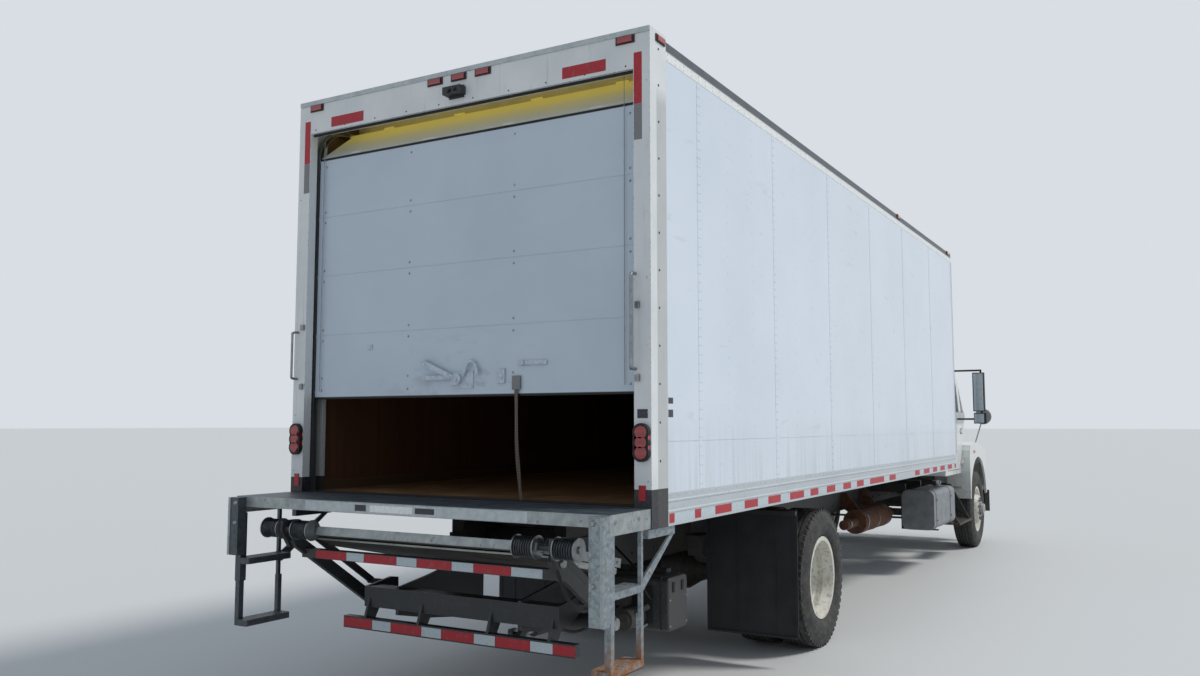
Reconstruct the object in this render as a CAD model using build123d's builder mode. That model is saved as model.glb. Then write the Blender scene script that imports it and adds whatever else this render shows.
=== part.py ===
from build123d import *
import os
from math import cos, hypot, radians, sin

os.makedirs("parts", exist_ok=True)

# Box truck with a tuck-under lift. +X points forward, +Y to the left, +Z up.
# The origin lies on the ground, under the centre of the whole truck.

# Driving dimensions, in millimetres

# Van body
body_width = 2590
body_length = 8180
body_top = 3800
floor_top = 1265
deck_thickness = 30
body_base = 1157
wall_thickness = 46
skin_inset = 4
side_rail_top = 1330
frame_rise = 16
top_rail_height = 115
roof_thickness = 40
front_wall_thickness = 50
front_corner_radius = 120
front_return = 150
crossmember_pitch = 406
crossmember_width = 50
crossmember_web = 6
bow_pitch = 610
bow_depth = 50
bow_width = 40

# Rear frame and door
post_width = 100
post_depth = 190
post_lip = 60
post_web = 25
post_base = 1357
header_height = 220
header_depth = 75
header_cap = 40
door_plane = 100
door_thickness = 30
door_half_width = 1188
door_base = 1856
panel_height = 386.7
upright_panels = 3
panel_joint = 6
track_drop = 124
track_turn_radius = 240
track_reach = 2300
track_width = 24
track_depth = 40
track_wall = 3

# Running gear
rear_axle_station = 3022
front_overhang = 1000
tyre_diameter = 1040
tyre_width = 279
rim_flange_diameter = 620
bead_diameter = 572
front_track_half = 1040
dual_mean_half = 930
dual_half_spacing = 165
rail_half_width = 432
rail_flange = 89
rail_height = 257
rail_sheet = 9
rail_top = 1020
rail_rear_station = 560
rail_front_ahead = 800
kingpin_half = 850
kingpin_radius = 20
spindle_radius = 35
rear_spindle_radius = 48
running_gap = 0.1
spring_width = 76
front_spring_half = 400
rear_spring_half = 512

# Cab and hood, given ahead of the front axle and above ground
cab_half_width = 1090
cab_wall = 50
cab_back_ahead = -1692
cab_gap = 290
door_front_ahead = -665
door_rear_ahead = -1540
door_sill = 1095
door_head = 2425
door_depth = 55
door_gap = 6
belt_line = 1850
glass_thickness = 8
hood_wall = 25
hood_rear_ahead = -140
fender_half_width = 1190
arch_half_length = 590
arch_top = 1240
arch_centre = 700
hood_pivot_ahead = 840
hood_pivot_height = 800
bumper_half_width = 1190
bumper_base = 430
bumper_top = 735

# Lift, given behind or ahead of the body's rear face
lift_reach = 480
extension_depth = 420
extension_half_width = 1290
extension_base = 1162
arm_pivot = (300, 600)
arm_pin = (-300, 1000)
link_rise = 100
arm_half = 900
arm_thickness = 30
arm_depth = 70
link_half = 870
link_thickness = 16
link_depth = 42
shackle_half = 940
shackle_thickness = 24
torque_tube_radius = 40
lift_pin_radius = 15
leaf_hinge = (-360, 1080)
leaf_half_width = 850
leaf_depth = 850
leaf_thickness = 42
leaf_tilt = -12
tape_tube = (-222, 930)
tape_tube_side = 52
lever_length = 130
cylinder_half = 350
cylinder_base_station = 780

# Places worked out from the driving dimensions

front_axle_station = body_length + cab_gap - cab_back_ahead
front_end_station = front_axle_station + front_overhang
centre_station = (front_end_station - lift_reach) / 2
body_half = body_width / 2
skin_half = body_half - skin_inset
lining_half = skin_half - wall_thickness
wheel_radius = tyre_diameter / 2
top_rail_top = body_top - frame_rise
top_rail_base = top_rail_top - top_rail_height
header_base = body_top - header_height
track_level = top_rail_top - track_drop
track_turn_base = track_level - track_turn_radius
rail_base = rail_top - rail_height
sides = (("left", 1), ("right", -1))


def at(station):
    """X of a place measured forward from the body's rear face."""
    return station - centre_station


def ahead(distance):
    """X of a place measured forward from the front axle."""
    return at(front_axle_station + distance)


front_axle_x = ahead(0)
rear_axle_x = at(rear_axle_station)


def block(x, y, z, mode=Mode.ADD):
    """One square block between the two ends given along each axis."""
    x0, x1 = sorted(x)
    y0, y1 = sorted(y)
    z0, z1 = sorted(z)
    with Locations(((x0 + x1) / 2, (y0 + y1) / 2, (z0 + z1) / 2)):
        Box(x1 - x0, y1 - y0, z1 - z0, mode=mode)


def plate_across(points, y, mode=Mode.ADD, inset=0):
    """A side-view outline of (x, z) points, thick from one y to the other."""
    y0, y1 = sorted(y)
    with BuildSketch(Plane.XZ.offset(-y1)) as outline:
        with BuildLine():
            Polyline(*points, close=True)
        make_face()
        if inset:
            offset(amount=-inset, kind=Kind.INTERSECTION)
    extrude(outline.sketch, amount=y1 - y0, mode=mode)


def plate_along(points, x, mode=Mode.ADD, inset=0):
    """A rear-view outline of (y, z) points, thick from one x to the other."""
    x0, x1 = sorted(x)
    with BuildSketch(Plane.YZ.offset(x0)) as outline:
        with BuildLine():
            Polyline(*points, close=True)
        make_face()
        if inset:
            offset(amount=-inset, kind=Kind.INTERSECTION)
    extrude(outline.sketch, amount=x1 - x0, mode=mode)


def plate_up(points, z, mode=Mode.ADD):
    """A plan outline of (x, y) points, thick from one z to the other."""
    z0, z1 = sorted(z)
    with BuildSketch(Plane.XY.offset(z0)) as outline:
        with BuildLine():
            Polyline(*points, close=True)
        make_face()
    extrude(outline.sketch, amount=z1 - z0, mode=mode)


def rod_across(x, y, z, radius, mode=Mode.ADD):
    """A round rod or hole along Y between two y values."""
    y0, y1 = sorted(y)
    with BuildSketch(Plane.XZ.offset(-y1)) as section:
        with Locations((x, z)):
            Circle(radius)
    extrude(section.sketch, amount=y1 - y0, mode=mode)


def rod_up(x, y, z, radius, mode=Mode.ADD):
    """A round rod or hole along Z between two z values."""
    z0, z1 = sorted(z)
    with BuildSketch(Plane.XY.offset(z0)) as section:
        with Locations((x, y)):
            Circle(radius)
    extrude(section.sketch, amount=z1 - z0, mode=mode)


def rod_along(x, y, z, radius, mode=Mode.ADD):
    """A round rod or hole along X between two x values."""
    x0, x1 = sorted(x)
    with BuildSketch(Plane.YZ.offset(x0)) as section:
        with Locations((y, z)):
            Circle(radius)
    extrude(section.sketch, amount=x1 - x0, mode=mode)


def rod_between(start, end, radius, mode=Mode.ADD):
    """A round rod from one point to another."""
    direction = Vector(*end) - Vector(*start)
    with BuildSketch(Plane(origin=start, z_dir=direction)) as section:
        Circle(radius)
    extrude(section.sketch, amount=direction.length, mode=mode)


def turned(points, x, z, mode=Mode.ADD):
    """A piece turned about the line along Y at (x, z), from (y, radius) points."""
    with BuildSketch(Plane(origin=(x, 0, z), x_dir=(0, 1, 0), z_dir=(1, 0, 0))) as profile:
        with BuildLine():
            Polyline(*points, close=True)
        make_face()
    revolve(profile.sketch, axis=Axis((x, 0, z), (0, 1, 0)), mode=mode)


def bar_outline(start, end, depth):
    """Side-view outline of a straight bar with pointed ends round two pins."""
    dx, dz = end[0] - start[0], end[1] - start[1]
    length = hypot(dx, dz)
    ux, uz = dx / length, dz / length
    nx, nz = -uz * depth / 2, ux * depth / 2
    tip = depth * 0.6
    return [
        (start[0] - ux * tip + nx / 2, start[1] - uz * tip + nz / 2),
        (start[0] + nx, start[1] + nz),
        (end[0] + nx, end[1] + nz),
        (end[0] + ux * tip + nx / 2, end[1] + uz * tip + nz / 2),
        (end[0] + ux * tip - nx / 2, end[1] + uz * tip - nz / 2),
        (end[0] - nx, end[1] - nz),
        (start[0] - nx, start[1] - nz),
        (start[0] - ux * tip - nx / 2, start[1] - uz * tip - nz / 2),
    ]


# Chassis

# Frame rails: two channels, their crossmembers and the spring hangers
rail_ties = rail_top - rail_sheet - 180
carrier_station = rear_axle_station + 1978
# Crossmembers, as (station, base, top)
crossmembers = (
    (960, rail_ties, rail_top - rail_sheet),
    (1900, rail_ties, rail_top - rail_sheet),
    (2520, rail_ties, rail_top - rail_sheet),
    (rear_axle_station + 478, rail_ties, rail_top - rail_sheet),
    (carrier_station, rail_ties, rail_top - rail_sheet),
    (rear_axle_station + 3578, rail_ties, rail_top - rail_sheet),
    (front_axle_station - 2162, rail_ties, rail_top - rail_sheet),
    (front_axle_station - 1012, rail_ties, rail_top - rail_sheet),
    (front_axle_station + 738, rail_base + rail_sheet, rail_base + rail_sheet + 60),
)
cab_mount_height = 20
cab_mounts = (-1560, -800)
front_spring_reach = 700
rear_spring_reach = 700
front_hanger_base = 650
rear_hanger_base = 720
hanger_length = 110
rail_ends = (at(rail_rear_station), ahead(rail_front_ahead))
web_inner = rail_half_width - rail_sheet
with BuildPart() as frame_rails:
    plate_along(
        [
            (rail_half_width, rail_base),
            (rail_half_width, rail_top),
            (rail_half_width - rail_flange, rail_top),
            (rail_half_width - rail_flange, rail_top - rail_sheet),
            (web_inner, rail_top - rail_sheet),
            (web_inner, rail_base + rail_sheet),
            (rail_half_width - rail_flange, rail_base + rail_sheet),
            (rail_half_width - rail_flange, rail_base),
        ],
        rail_ends,
    )
    mirror(about=Plane.XZ)
    for distance in cab_mounts:
        for side in (1, -1):
            block((ahead(distance) - 50, ahead(distance) + 50),
                  (side * (rail_half_width - 80), side * rail_half_width),
                  (rail_top, rail_top + cab_mount_height))
    for station, low, high in crossmembers:
        x = at(station)
        plate_across(
            [
                (x - 40, low),
                (x + 40, low),
                (x + 40, low + 8),
                (x - 32, low + 8),
                (x - 32, high - 8),
                (x + 40, high - 8),
                (x + 40, high),
                (x - 40, high),
            ],
            (-web_inner, web_inner),
        )
    for axle_x, reach, half, base in (
        (front_axle_x, front_spring_reach, front_spring_half, front_hanger_base),
        (rear_axle_x, rear_spring_reach, rear_spring_half, rear_hanger_base),
    ):
        for end in (-1, 1):
            x = axle_x + end * reach
            for side in (1, -1):
                inner = half - spring_width / 2
                outer = half + spring_width / 2
                roof = rail_base if half < rail_half_width else rail_base + 110
                if half > rail_half_width:
                    inner = rail_half_width
                plate_across(
                    [
                        (x - hanger_length / 2, base),
                        (x + hanger_length / 2, base),
                        (x + hanger_length, roof),
                        (x - hanger_length, roof),
                    ],
                    (side * inner, side * outer),
                )
frame_rails.part.label = "frame_rails"
export_step(frame_rails.part, "parts/frame_rails.step")


spring_leaf = 14
leaf_shares = (1.0, 0.72, 0.44)


def leaf_pack(axle_x, half, side, reach, eye_height, seat_height):
    """A pack of bowed leaves from eye to eye, thickest over the axle."""
    leaf = spring_leaf
    last = len(leaf_shares) - 1
    bow = eye_height - leaf - (seat_height + last * leaf)
    for index, share in enumerate(leaf_shares):
        low = seat_height + (last - index) * leaf
        end_z = low + bow * share * share
        with BuildSketch(Plane.XZ.offset(-(side * half + spring_width / 2))) as leaf_view:
            with BuildLine():
                ThreePointArc(
                    (axle_x - share * reach, end_z),
                    (axle_x, low),
                    (axle_x + share * reach, end_z),
                )
                Line((axle_x + share * reach, end_z), (axle_x + share * reach, end_z + leaf))
                ThreePointArc(
                    (axle_x + share * reach, end_z + leaf),
                    (axle_x, low + leaf),
                    (axle_x - share * reach, end_z + leaf),
                )
                Line((axle_x - share * reach, end_z + leaf), (axle_x - share * reach, end_z))
            make_face()
        extrude(leaf_view.sketch, amount=spring_width)


def spring_clamp(axle_x, half, reach, eye_height, seat_height, base):
    """Four bolts beside a leaf pack, with the plates above and below it."""
    bolt_out = spring_width / 2 + clamp_bolt + 1
    crown = seat_height + len(leaf_shares) * spring_leaf
    top = crown + (eye_height - crown) * (clamp_half / reach) ** 2 + running_gap
    for y in (half - bolt_out, half + bolt_out):
        for x in (axle_x - clamp_half + 12, axle_x + clamp_half - 12):
            rod_up(x, y, (base, top + clamp_plate + 12), clamp_bolt)
    for low in (base, top):
        block((axle_x - clamp_half, axle_x + clamp_half), (half - bolt_out - 10, half + bolt_out + 10),
              (low, low + clamp_plate))


clamp_bolt = 8
clamp_plate = 14
clamp_half = 60
# Leaf springs on both axles
front_spring_seat = 480
rear_spring_seat = 610
spring_sets = (
    (front_axle_x, front_spring_half, front_spring_reach, front_hanger_base, front_spring_seat),
    (rear_axle_x, rear_spring_half, rear_spring_reach, rear_hanger_base, rear_spring_seat),
)
with BuildPart() as leaf_springs:
    for axle_x, half, reach, eye_height, seat_height in spring_sets:
        for name, side in sides:
            leaf_pack(axle_x, half, side, reach, eye_height, seat_height)
leaf_springs.part.label = "leaf_springs"
export_step(leaf_springs.part, "parts/leaf_springs.step")

# Front axle: a dropped beam with spring pads, end bosses and kingpins
beam_width = 100
beam_base = 385
boss_half_height = 60
boss_radius = 42
kingpin_half_height = 110
with BuildPart() as front_axle:
    plate_along(
        [
            (-kingpin_half, 575),
            (-kingpin_half, 480),
            (-700, 440),
            (-560, beam_base),
            (560, beam_base),
            (700, 440),
            (kingpin_half, 480),
            (kingpin_half, 575),
            (720, 560),
            (520, front_spring_seat),
            (-520, front_spring_seat),
            (-720, 560),
        ],
        (front_axle_x - beam_width / 2, front_axle_x + beam_width / 2),
    )
    for side in (1, -1):
        spring_clamp(front_axle_x, side * front_spring_half, front_spring_reach, front_hanger_base,
                     front_spring_seat, beam_base - clamp_plate)
        y = side * kingpin_half
        boss = (wheel_radius - boss_half_height, wheel_radius + boss_half_height)
        pin = (wheel_radius - kingpin_half_height, wheel_radius + kingpin_half_height)
        block((front_axle_x - 60, front_axle_x + 60), (y, y + side * 100), (430, 620), Mode.SUBTRACT)
        rod_up(front_axle_x, y, boss, boss_radius)
        rod_up(front_axle_x, y, pin, kingpin_radius)
front_axle.part.label = "front_axle"
export_step(front_axle.part, "parts/front_axle.step")

# Steering knuckles: a fork round the kingpin, a spindle and a steering arm
ear_low = (wheel_radius - kingpin_half_height, wheel_radius - boss_half_height - 5)
ear_high = (wheel_radius + boss_half_height + 5, wheel_radius + kingpin_half_height)
knuckle_face = kingpin_half + boss_radius + 10
tie_ball = (-180, kingpin_half, 400)
spindle_end = front_track_half + 150
for name, side in sides:
    with BuildPart() as knuckle:
        for ear in (ear_low, ear_high):
            block((front_axle_x - 40, front_axle_x + 40),
                  (side * (kingpin_half - 38), side * knuckle_face), ear)
        block((front_axle_x - 55, front_axle_x + 55),
              (side * knuckle_face, side * (knuckle_face + 30)), (ear_low[0], ear_high[1]))
        rod_up(front_axle_x, side * kingpin_half, (ear_low[0] - 1, ear_high[1] + 1),
               kingpin_radius + running_gap, Mode.SUBTRACT)
        rod_across(front_axle_x, (side * (knuckle_face + 30), side * spindle_end),
                   wheel_radius, spindle_radius)
        plate_up(
            [
                (front_axle_x - 30, side * (knuckle_face + 30)),
                (front_axle_x - 30, side * (kingpin_half - 30)),
                (front_axle_x + tie_ball[0] - 30, side * (tie_ball[1] - 25)),
                (front_axle_x + tie_ball[0] - 30, side * (tie_ball[1] + 30)),
            ],
            (ear_low[0] - 25, ear_low[0]),
        )
        rod_up(front_axle_x + tie_ball[0], side * tie_ball[1], (tie_ball[2] - 52, tie_ball[2]), 12)
    knuckle.part.label = f"knuckle_{name}"
    export_step(knuckle.part, f"parts/knuckle_{name}.step")

# Tie rod between the two steering arms, an open eye round each ball stud
tie_level = tie_ball[2] - 33
with BuildPart() as tie_rod:
    x = front_axle_x + tie_ball[0]
    rod_across(x, (-tie_ball[1] + 20, tie_ball[1] - 20), tie_level, 15)
    for side in (1, -1):
        rod_up(x, side * tie_ball[1], (tie_level - 15, tie_level + 15), 26)
    for side in (1, -1):
        rod_up(x, side * tie_ball[1], (tie_level - 20, tie_level + 20), 12 + running_gap * 3, Mode.SUBTRACT)
tie_rod.part.label = "tie_rod"
export_step(tie_rod.part, "parts/tie_rod.step")

# Rear axle: banjo housing, tapered tubes, spindles and spring seats
pinion_reach = 330
# Brake chambers behind the axle, each with its cam shaft to the drum
cam_x = rear_axle_x - 95
cam_level = wheel_radius + 50
slack_y = (300, 318)
slack_middle = (slack_y[0] + slack_y[1]) / 2
chamber_level = wheel_radius + 150
chamber_radius = 70
chamber_length = 110
backing_y = 585
with BuildPart() as rear_axle:
    turned(
        [
            (0, 0),
            (0, 175),
            (90, 170),
            (190, 110),
            (300, 72),
            (620, 66),
            (640, 66),
            (640, rear_spindle_radius),
            (dual_mean_half + 60, rear_spindle_radius),
            (dual_mean_half + 60, 0),
        ],
        rear_axle_x,
        wheel_radius,
    )
    rod_along((rear_axle_x, rear_axle_x + pinion_reach), 0, wheel_radius + 30, 95)
    rod_across(rear_axle_x, (backing_y, backing_y + 12), wheel_radius, 200)
    rod_across(cam_x, (slack_y[0] - 10, backing_y), cam_level, 18)
    block((cam_x - 20, cam_x + 20), slack_y, (cam_level, chamber_level + 15))
    rod_along((cam_x - 40, cam_x), slack_middle, chamber_level, 9)
    chamber_x = (cam_x - 40 - chamber_length, cam_x - 40)
    rod_along(chamber_x, slack_middle, chamber_level, chamber_radius)
    rod_along((chamber_x[0] + 48, chamber_x[0] + 62), slack_middle, chamber_level, chamber_radius + 8)
    plate_across(
        [
            (chamber_x[1] - 4, chamber_level - 40),
            (chamber_x[1] - 4, chamber_level + 40),
            (rear_axle_x, cam_level + 10),
            (rear_axle_x, cam_level - 40),
        ],
        (slack_middle + 26, slack_middle + 38),
    )
    spring_clamp(rear_axle_x, rear_spring_half, rear_spring_reach, rear_hanger_base,
                 rear_spring_seat, wheel_radius - 80)
    block((rear_axle_x - 60, rear_axle_x + 60),
          (rear_spring_half - 45, rear_spring_half + 45), (wheel_radius + 40, rear_spring_seat))
    mirror(about=Plane.XZ)
rear_axle.part.label = "rear_axle"
export_step(rear_axle.part, "parts/rear_axle.step")


# Wheels and tyres

def tyre_ring(centre_y, x):
    """One tyre, without its tread pattern, centred at the given y."""
    half = tyre_width / 2
    bead = bead_diameter / 2 + 4.3
    side_profile = [
        (38, bead),
        (38, bead + 24),
        (2, bead + 95),
        (14, wheel_radius - 45),
        (45, wheel_radius),
    ]
    profile = [(inward - half, radius) for inward, radius in side_profile]
    profile += [(half - inward, radius) for inward, radius in reversed(side_profile)]
    turned([(centre_y + y, r) for y, r in profile], x, wheel_radius)


def rim_ring(centre_y, x, disc_face, disc_side):
    """One steel wheel: rim, and a disc dished out to the mounting face."""
    half = tyre_width / 2 - 24
    flange = rim_flange_diameter / 2
    bead = bead_diameter / 2 + 4
    well = bead - 28
    turned(
        [
            (centre_y - half, flange),
            (centre_y - half + 13, bead),
            (centre_y - half + 70, well),
            (centre_y + half - 70, well),
            (centre_y + half - 13, bead),
            (centre_y + half, flange),
            (centre_y + half, bead - 14),
            (centre_y + half - 76, well - 12),
            (centre_y - half + 76, well - 12),
            (centre_y - half, bead - 14),
        ],
        x,
        wheel_radius,
    )
    root = centre_y - disc_side * 7
    turned(
        [
            (root, well - 6),
            (root + disc_side * 14, well - 6),
            (disc_face, 180),
            (disc_face, 110),
            (disc_face - disc_side * 12, 110),
            (disc_face - disc_side * 12, 174),
        ],
        x,
        wheel_radius,
    )
    hand_holes = 5
    with BuildSketch(Plane.XZ.offset(-(disc_face + 120))) as holes:
        with Locations((x, wheel_radius)):
            with PolarLocations(212, hand_holes, start_angle=90):
                SlotOverall(70, 38, rotation=90)
    extrude(holes.sketch, amount=240, mode=Mode.SUBTRACT)


# Front wheels, each with its hub on the knuckle's spindle
front_face = front_track_half + 150
for name, side in sides:
    with BuildPart() as wheel:
        rim_ring(side * front_track_half, front_axle_x, side * front_face, side)
        turned(
            [
                (side * (knuckle_face + 40), spindle_radius + running_gap),
                (side * (knuckle_face + 40), 70),
                (side * (front_face - 12), 80),
                (side * (front_face - 12), 112),
                (side * (front_face + 3), 112),
                (side * (front_face + 3), 78),
                (side * (front_face + 60), 70),
                (side * (front_face + 60), 0),
                (side * (spindle_end + 2), 0),
                (side * (spindle_end + 2), spindle_radius + running_gap),
            ],
            front_axle_x,
            wheel_radius,
        )
    wheel.part.label = f"wheel_front_{name}"
    export_step(wheel.part, f"parts/wheel_front_{name}.step")

    with BuildPart() as tyre:
        tyre_ring(side * front_track_half, front_axle_x)
    tyre.part.label = f"tyre_front_{name}"
    export_step(tyre.part, f"parts/tyre_front_{name}.step")

# Rear duals: two wheels bolted back to back on one hub, with the drum behind
for name, side in sides:
    with BuildPart() as duals:
        outer = side * (dual_mean_half + dual_half_spacing)
        inner = side * (dual_mean_half - dual_half_spacing)
        mean = side * dual_mean_half
        rim_ring(outer, rear_axle_x, mean, -side)
        rim_ring(inner, rear_axle_x, mean, side)
        turned(
            [
                (side * (dual_mean_half - 150), rear_spindle_radius + running_gap),
                (side * (dual_mean_half - 150), 95),
                (mean - side * 12, 105),
                (mean - side * 12, 112),
                (mean + side * 12, 112),
                (mean + side * 12, 100),
                (mean + side * 120, 92),
                (mean + side * 120, 0),
                (mean + side * 62, 0),
                (mean + side * 62, rear_spindle_radius + running_gap),
            ],
            rear_axle_x,
            wheel_radius,
        )
        turned(
            [
                (mean - side * 12, 112),
                (mean - side * 12, 90),
                (mean - side * 60, 90),
                (mean - side * 90, 190),
                (side * 610, 205),
                (side * 610, 218),
                (mean - side * 75, 218),
                (mean - side * 45, 112),
            ],
            rear_axle_x,
            wheel_radius,
        )
    duals.part.label = f"wheels_rear_{name}"
    export_step(duals.part, f"parts/wheels_rear_{name}.step")

    with BuildPart() as dual_tyres:
        tyre_ring(outer, rear_axle_x)
        tyre_ring(inner, rear_axle_x)
    dual_tyres.part.label = f"tyres_rear_{name}"
    export_step(dual_tyres.part, f"parts/tyres_rear_{name}.step")

# Engine: one plain block with the gearbox behind it
engine_rear = ahead(-110)
engine_front = ahead(620)
gearbox_rear = ahead(-900)
engine_half = 290
with BuildPart() as engine_block:
    plate_across(
        [
            (engine_rear, 640),
            (engine_front, 640),
            (engine_front, 1400),
            (engine_rear, 1480),
        ],
        (-engine_half, engine_half),
    )
    plate_across(
        [
            (engine_rear, 1000),
            (engine_rear, 680),
            (gearbox_rear, 690),
            (gearbox_rear, 860),
            (engine_rear - 250, 960),
        ],
        (-170, 170),
    )
    for side in (1, -1):
        block((ahead(250), ahead(350)), (side * engine_half, side * web_inner), (820, 900))
engine_block.part.label = "engine_block"
export_step(engine_block.part, "parts/engine_block.step")

# Drive shaft: two tubes with a carrier bearing hung between them
shaft_radius = 50
carrier_x = at(carrier_station)
gearbox_level = 770
carrier_level = 740
pinion_level = wheel_radius + 35
with BuildPart() as drive_shaft:
    rod_along((gearbox_rear - 25, gearbox_rear), 0, gearbox_level, 75)
    rod_between((gearbox_rear - 10, 0, gearbox_level), (carrier_x, 0, carrier_level), shaft_radius)
    rod_between((carrier_x, 0, carrier_level), (rear_axle_x + pinion_reach + 10, 0, pinion_level),
                shaft_radius)
    rod_along((rear_axle_x + pinion_reach, rear_axle_x + pinion_reach + 25), 0, pinion_level, 75)
    rod_along((carrier_x - 30, carrier_x + 30), 0, carrier_level, 85)
    block((carrier_x - 30, carrier_x + 30), (-110, 110), (carrier_level + 50, rail_ties))
drive_shaft.part.label = "drive_shaft"
export_step(drive_shaft.part, "parts/drive_shaft.step")

# Radiator and its shroud, on the rails' front ends
radiator_base = crossmembers[-1][2]
with BuildPart() as radiator:
    block((ahead(690), ahead(770)), (-330, 330), (radiator_base, 1390))
    block((ahead(680), ahead(780)), (-338, 338), (1330, 1390))
    block((ahead(680), ahead(780)), (-338, 338), (radiator_base, radiator_base + 50))
radiator.part.label = "radiator"
export_step(radiator.part, "parts/radiator.step")

# Cab

# Side outline of the cab, as (ahead of the front axle, height)
cab_outline = [
    (cab_back_ahead, rail_top + cab_mount_height),
    (cab_back_ahead, 2470),
    (cab_back_ahead + 50, 2560),
    (cab_back_ahead + 140, 2600),
    (-1150, 2620),
    (-800, 2600),
    (-700, 2540),
    (-330, 1790),
    (-150, 1735),
    (-150, 1260),
    (-560, 1190),
    (-640, 1150),
    (-640, rail_top + cab_mount_height),
]
# Rear outline of the cab's side and roof edge, as (half width, height)
cab_side = [
    (cab_half_width - 15, 1000),
    (cab_half_width, 1400),
    (cab_half_width, 1790),
    (cab_half_width - 55, 2440),
    (cab_half_width - 110, 2550),
    (cab_half_width - 220, 2605),
    (cab_half_width - 500, 2640),
]
notch_half = 865
notch_rear_ahead = -640
notch_turn_base = 1250
notch_steps = (1320, 1400, 1500, 1600, 1700, 1800, 1850)
# The hood's rear corner swings on this radius about its pivot, with its clearance
hood_swing_radius = 1550


def notch_outline(inset):
    """Side outline of the room that the fender needs as the hood tilts."""
    rows = [(notch_rear_ahead - inset, 900), (notch_rear_ahead - inset, notch_turn_base)]
    for height in notch_steps:
        rise = height - hood_pivot_height
        run = ((hood_swing_radius + inset) ** 2 - rise ** 2) ** 0.5
        rows.append((hood_pivot_ahead - run, height))
    rows += [(100, notch_steps[-1]), (100, 900)]
    return rows


def cab_form(inset):
    """The cab's whole form, drawn in by the inset on every side."""
    side_view = [(ahead(distance), height) for distance, height in cab_outline]
    plate_across(side_view, (-cab_half_width - 5, cab_half_width + 5), inset=inset)
    half = cab_side + [(-width, height) for width, height in reversed(cab_side)]
    plate_along(half, (ahead(-1800), ahead(0)), Mode.INTERSECT, inset=inset)
    for side in (1, -1):
        room = [(ahead(distance), height) for distance, height in notch_outline(inset)]
        plate_across(room, (side * (notch_half - inset), side * 1300), Mode.SUBTRACT)


def windshield_x(height):
    """X of the windshield's outer face at a height."""
    low, high = cab_outline[7], cab_outline[6]
    share = (height - low[1]) / (high[1] - low[1])
    return ahead(low[0] + share * (high[0] - low[0]))


windshield_base = 1850
windshield_head = 2480
windshield_half = 940
quarter_window = [
    (-600, belt_line),
    (-600, 2200),
    (-430, belt_line),
]
rear_window_half = 480
rear_window_z = (1850, 2330)
door_outline = [
    (door_rear_ahead, door_sill),
    (door_rear_ahead, door_head - 60),
    (door_rear_ahead + 60, door_head),
    (-790, door_head),
    (door_front_ahead, door_head - 200),
    (door_front_ahead, door_sill),
]
door_window = [
    (door_rear_ahead + 80, belt_line),
    (door_rear_ahead + 80, door_head - 110),
    (door_rear_ahead + 110, door_head - 80),
    (-800, door_head - 80),
    (door_front_ahead - 70, door_head - 230),
    (door_front_ahead - 70, belt_line),
]


def cab_side_at(height):
    """Half width of the cab's side at a height below the roof edge."""
    for (low_width, low), (high_width, high) in zip(cab_side, cab_side[1:]):
        if height <= high:
            return low_width + (high_width - low_width) * (height - low) / (high - low)


def outline_at_cab(points):
    """Side-view points given ahead of the front axle, as places in the truck."""
    return [(ahead(distance), height) for distance, height in points]


# Door hinges: the axis, and the two hinges up it
hinge_x = ahead(door_front_ahead) + 10
hinge_half = cab_half_width + 11
hinge_heights = ((1150, 1230), (1560, 1640))
hinge_ear = 18
hinge_barrel = 10
hinge_pin = 6
strap_reach = 60
cab_floor = rail_top + cab_mount_height + cab_wall
cab_length = (ahead(cab_back_ahead) - 50, ahead(0))
with BuildPart() as cab_void:
    cab_form(cab_wall)

# The floor is a panel of its own, and the shell stands on it
with BuildPart() as cab_floor_pan:
    cab_form(0)
    block(cab_length, (-cab_half_width - 5, cab_half_width + 5),
          (rail_top, cab_floor), Mode.INTERSECT)
cab_floor_pan.part.label = "cab_floor_pan"
export_step(cab_floor_pan.part, "parts/cab_floor_pan.step")

with BuildPart() as cab_shell:
    cab_form(0)
    add(cab_void.part, mode=Mode.SUBTRACT)
    block(cab_length, (-cab_half_width - 5, cab_half_width + 5),
          (rail_top, cab_floor), Mode.SUBTRACT)
    plate_across(
        [
            (windshield_x(windshield_base) + 40, windshield_base),
            (windshield_x(windshield_head) + 40, windshield_head),
            (windshield_x(windshield_head) - 110, windshield_head),
            (windshield_x(windshield_base) - 110, windshield_base),
        ],
        (-windshield_half, windshield_half),
        Mode.SUBTRACT,
    )
    block((ahead(cab_back_ahead) - 10, ahead(cab_back_ahead) + cab_wall + 10),
          (-rear_window_half, rear_window_half), rear_window_z, Mode.SUBTRACT)
    for side in (1, -1):
        reach = (side * (cab_half_width - 150), side * (cab_half_width + 20))
        plate_across(outline_at_cab(door_outline), reach, Mode.SUBTRACT)
        plate_across(outline_at_cab(quarter_window), reach, Mode.SUBTRACT)
    for side in (1, -1):
        for low, high in hinge_heights:
            for ear in ((low, low + hinge_ear), (high - hinge_ear, high)):
                block((hinge_x, hinge_x + 14), (side * (hinge_half - 40), side * hinge_half), ear)
                rod_up(hinge_x, side * hinge_half, ear, hinge_barrel)
            rod_up(hinge_x, side * hinge_half, (low, high), hinge_pin)
cab_shell.part.label = "cab_shell"
export_step(cab_shell.part, "parts/cab_shell.step")

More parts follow.
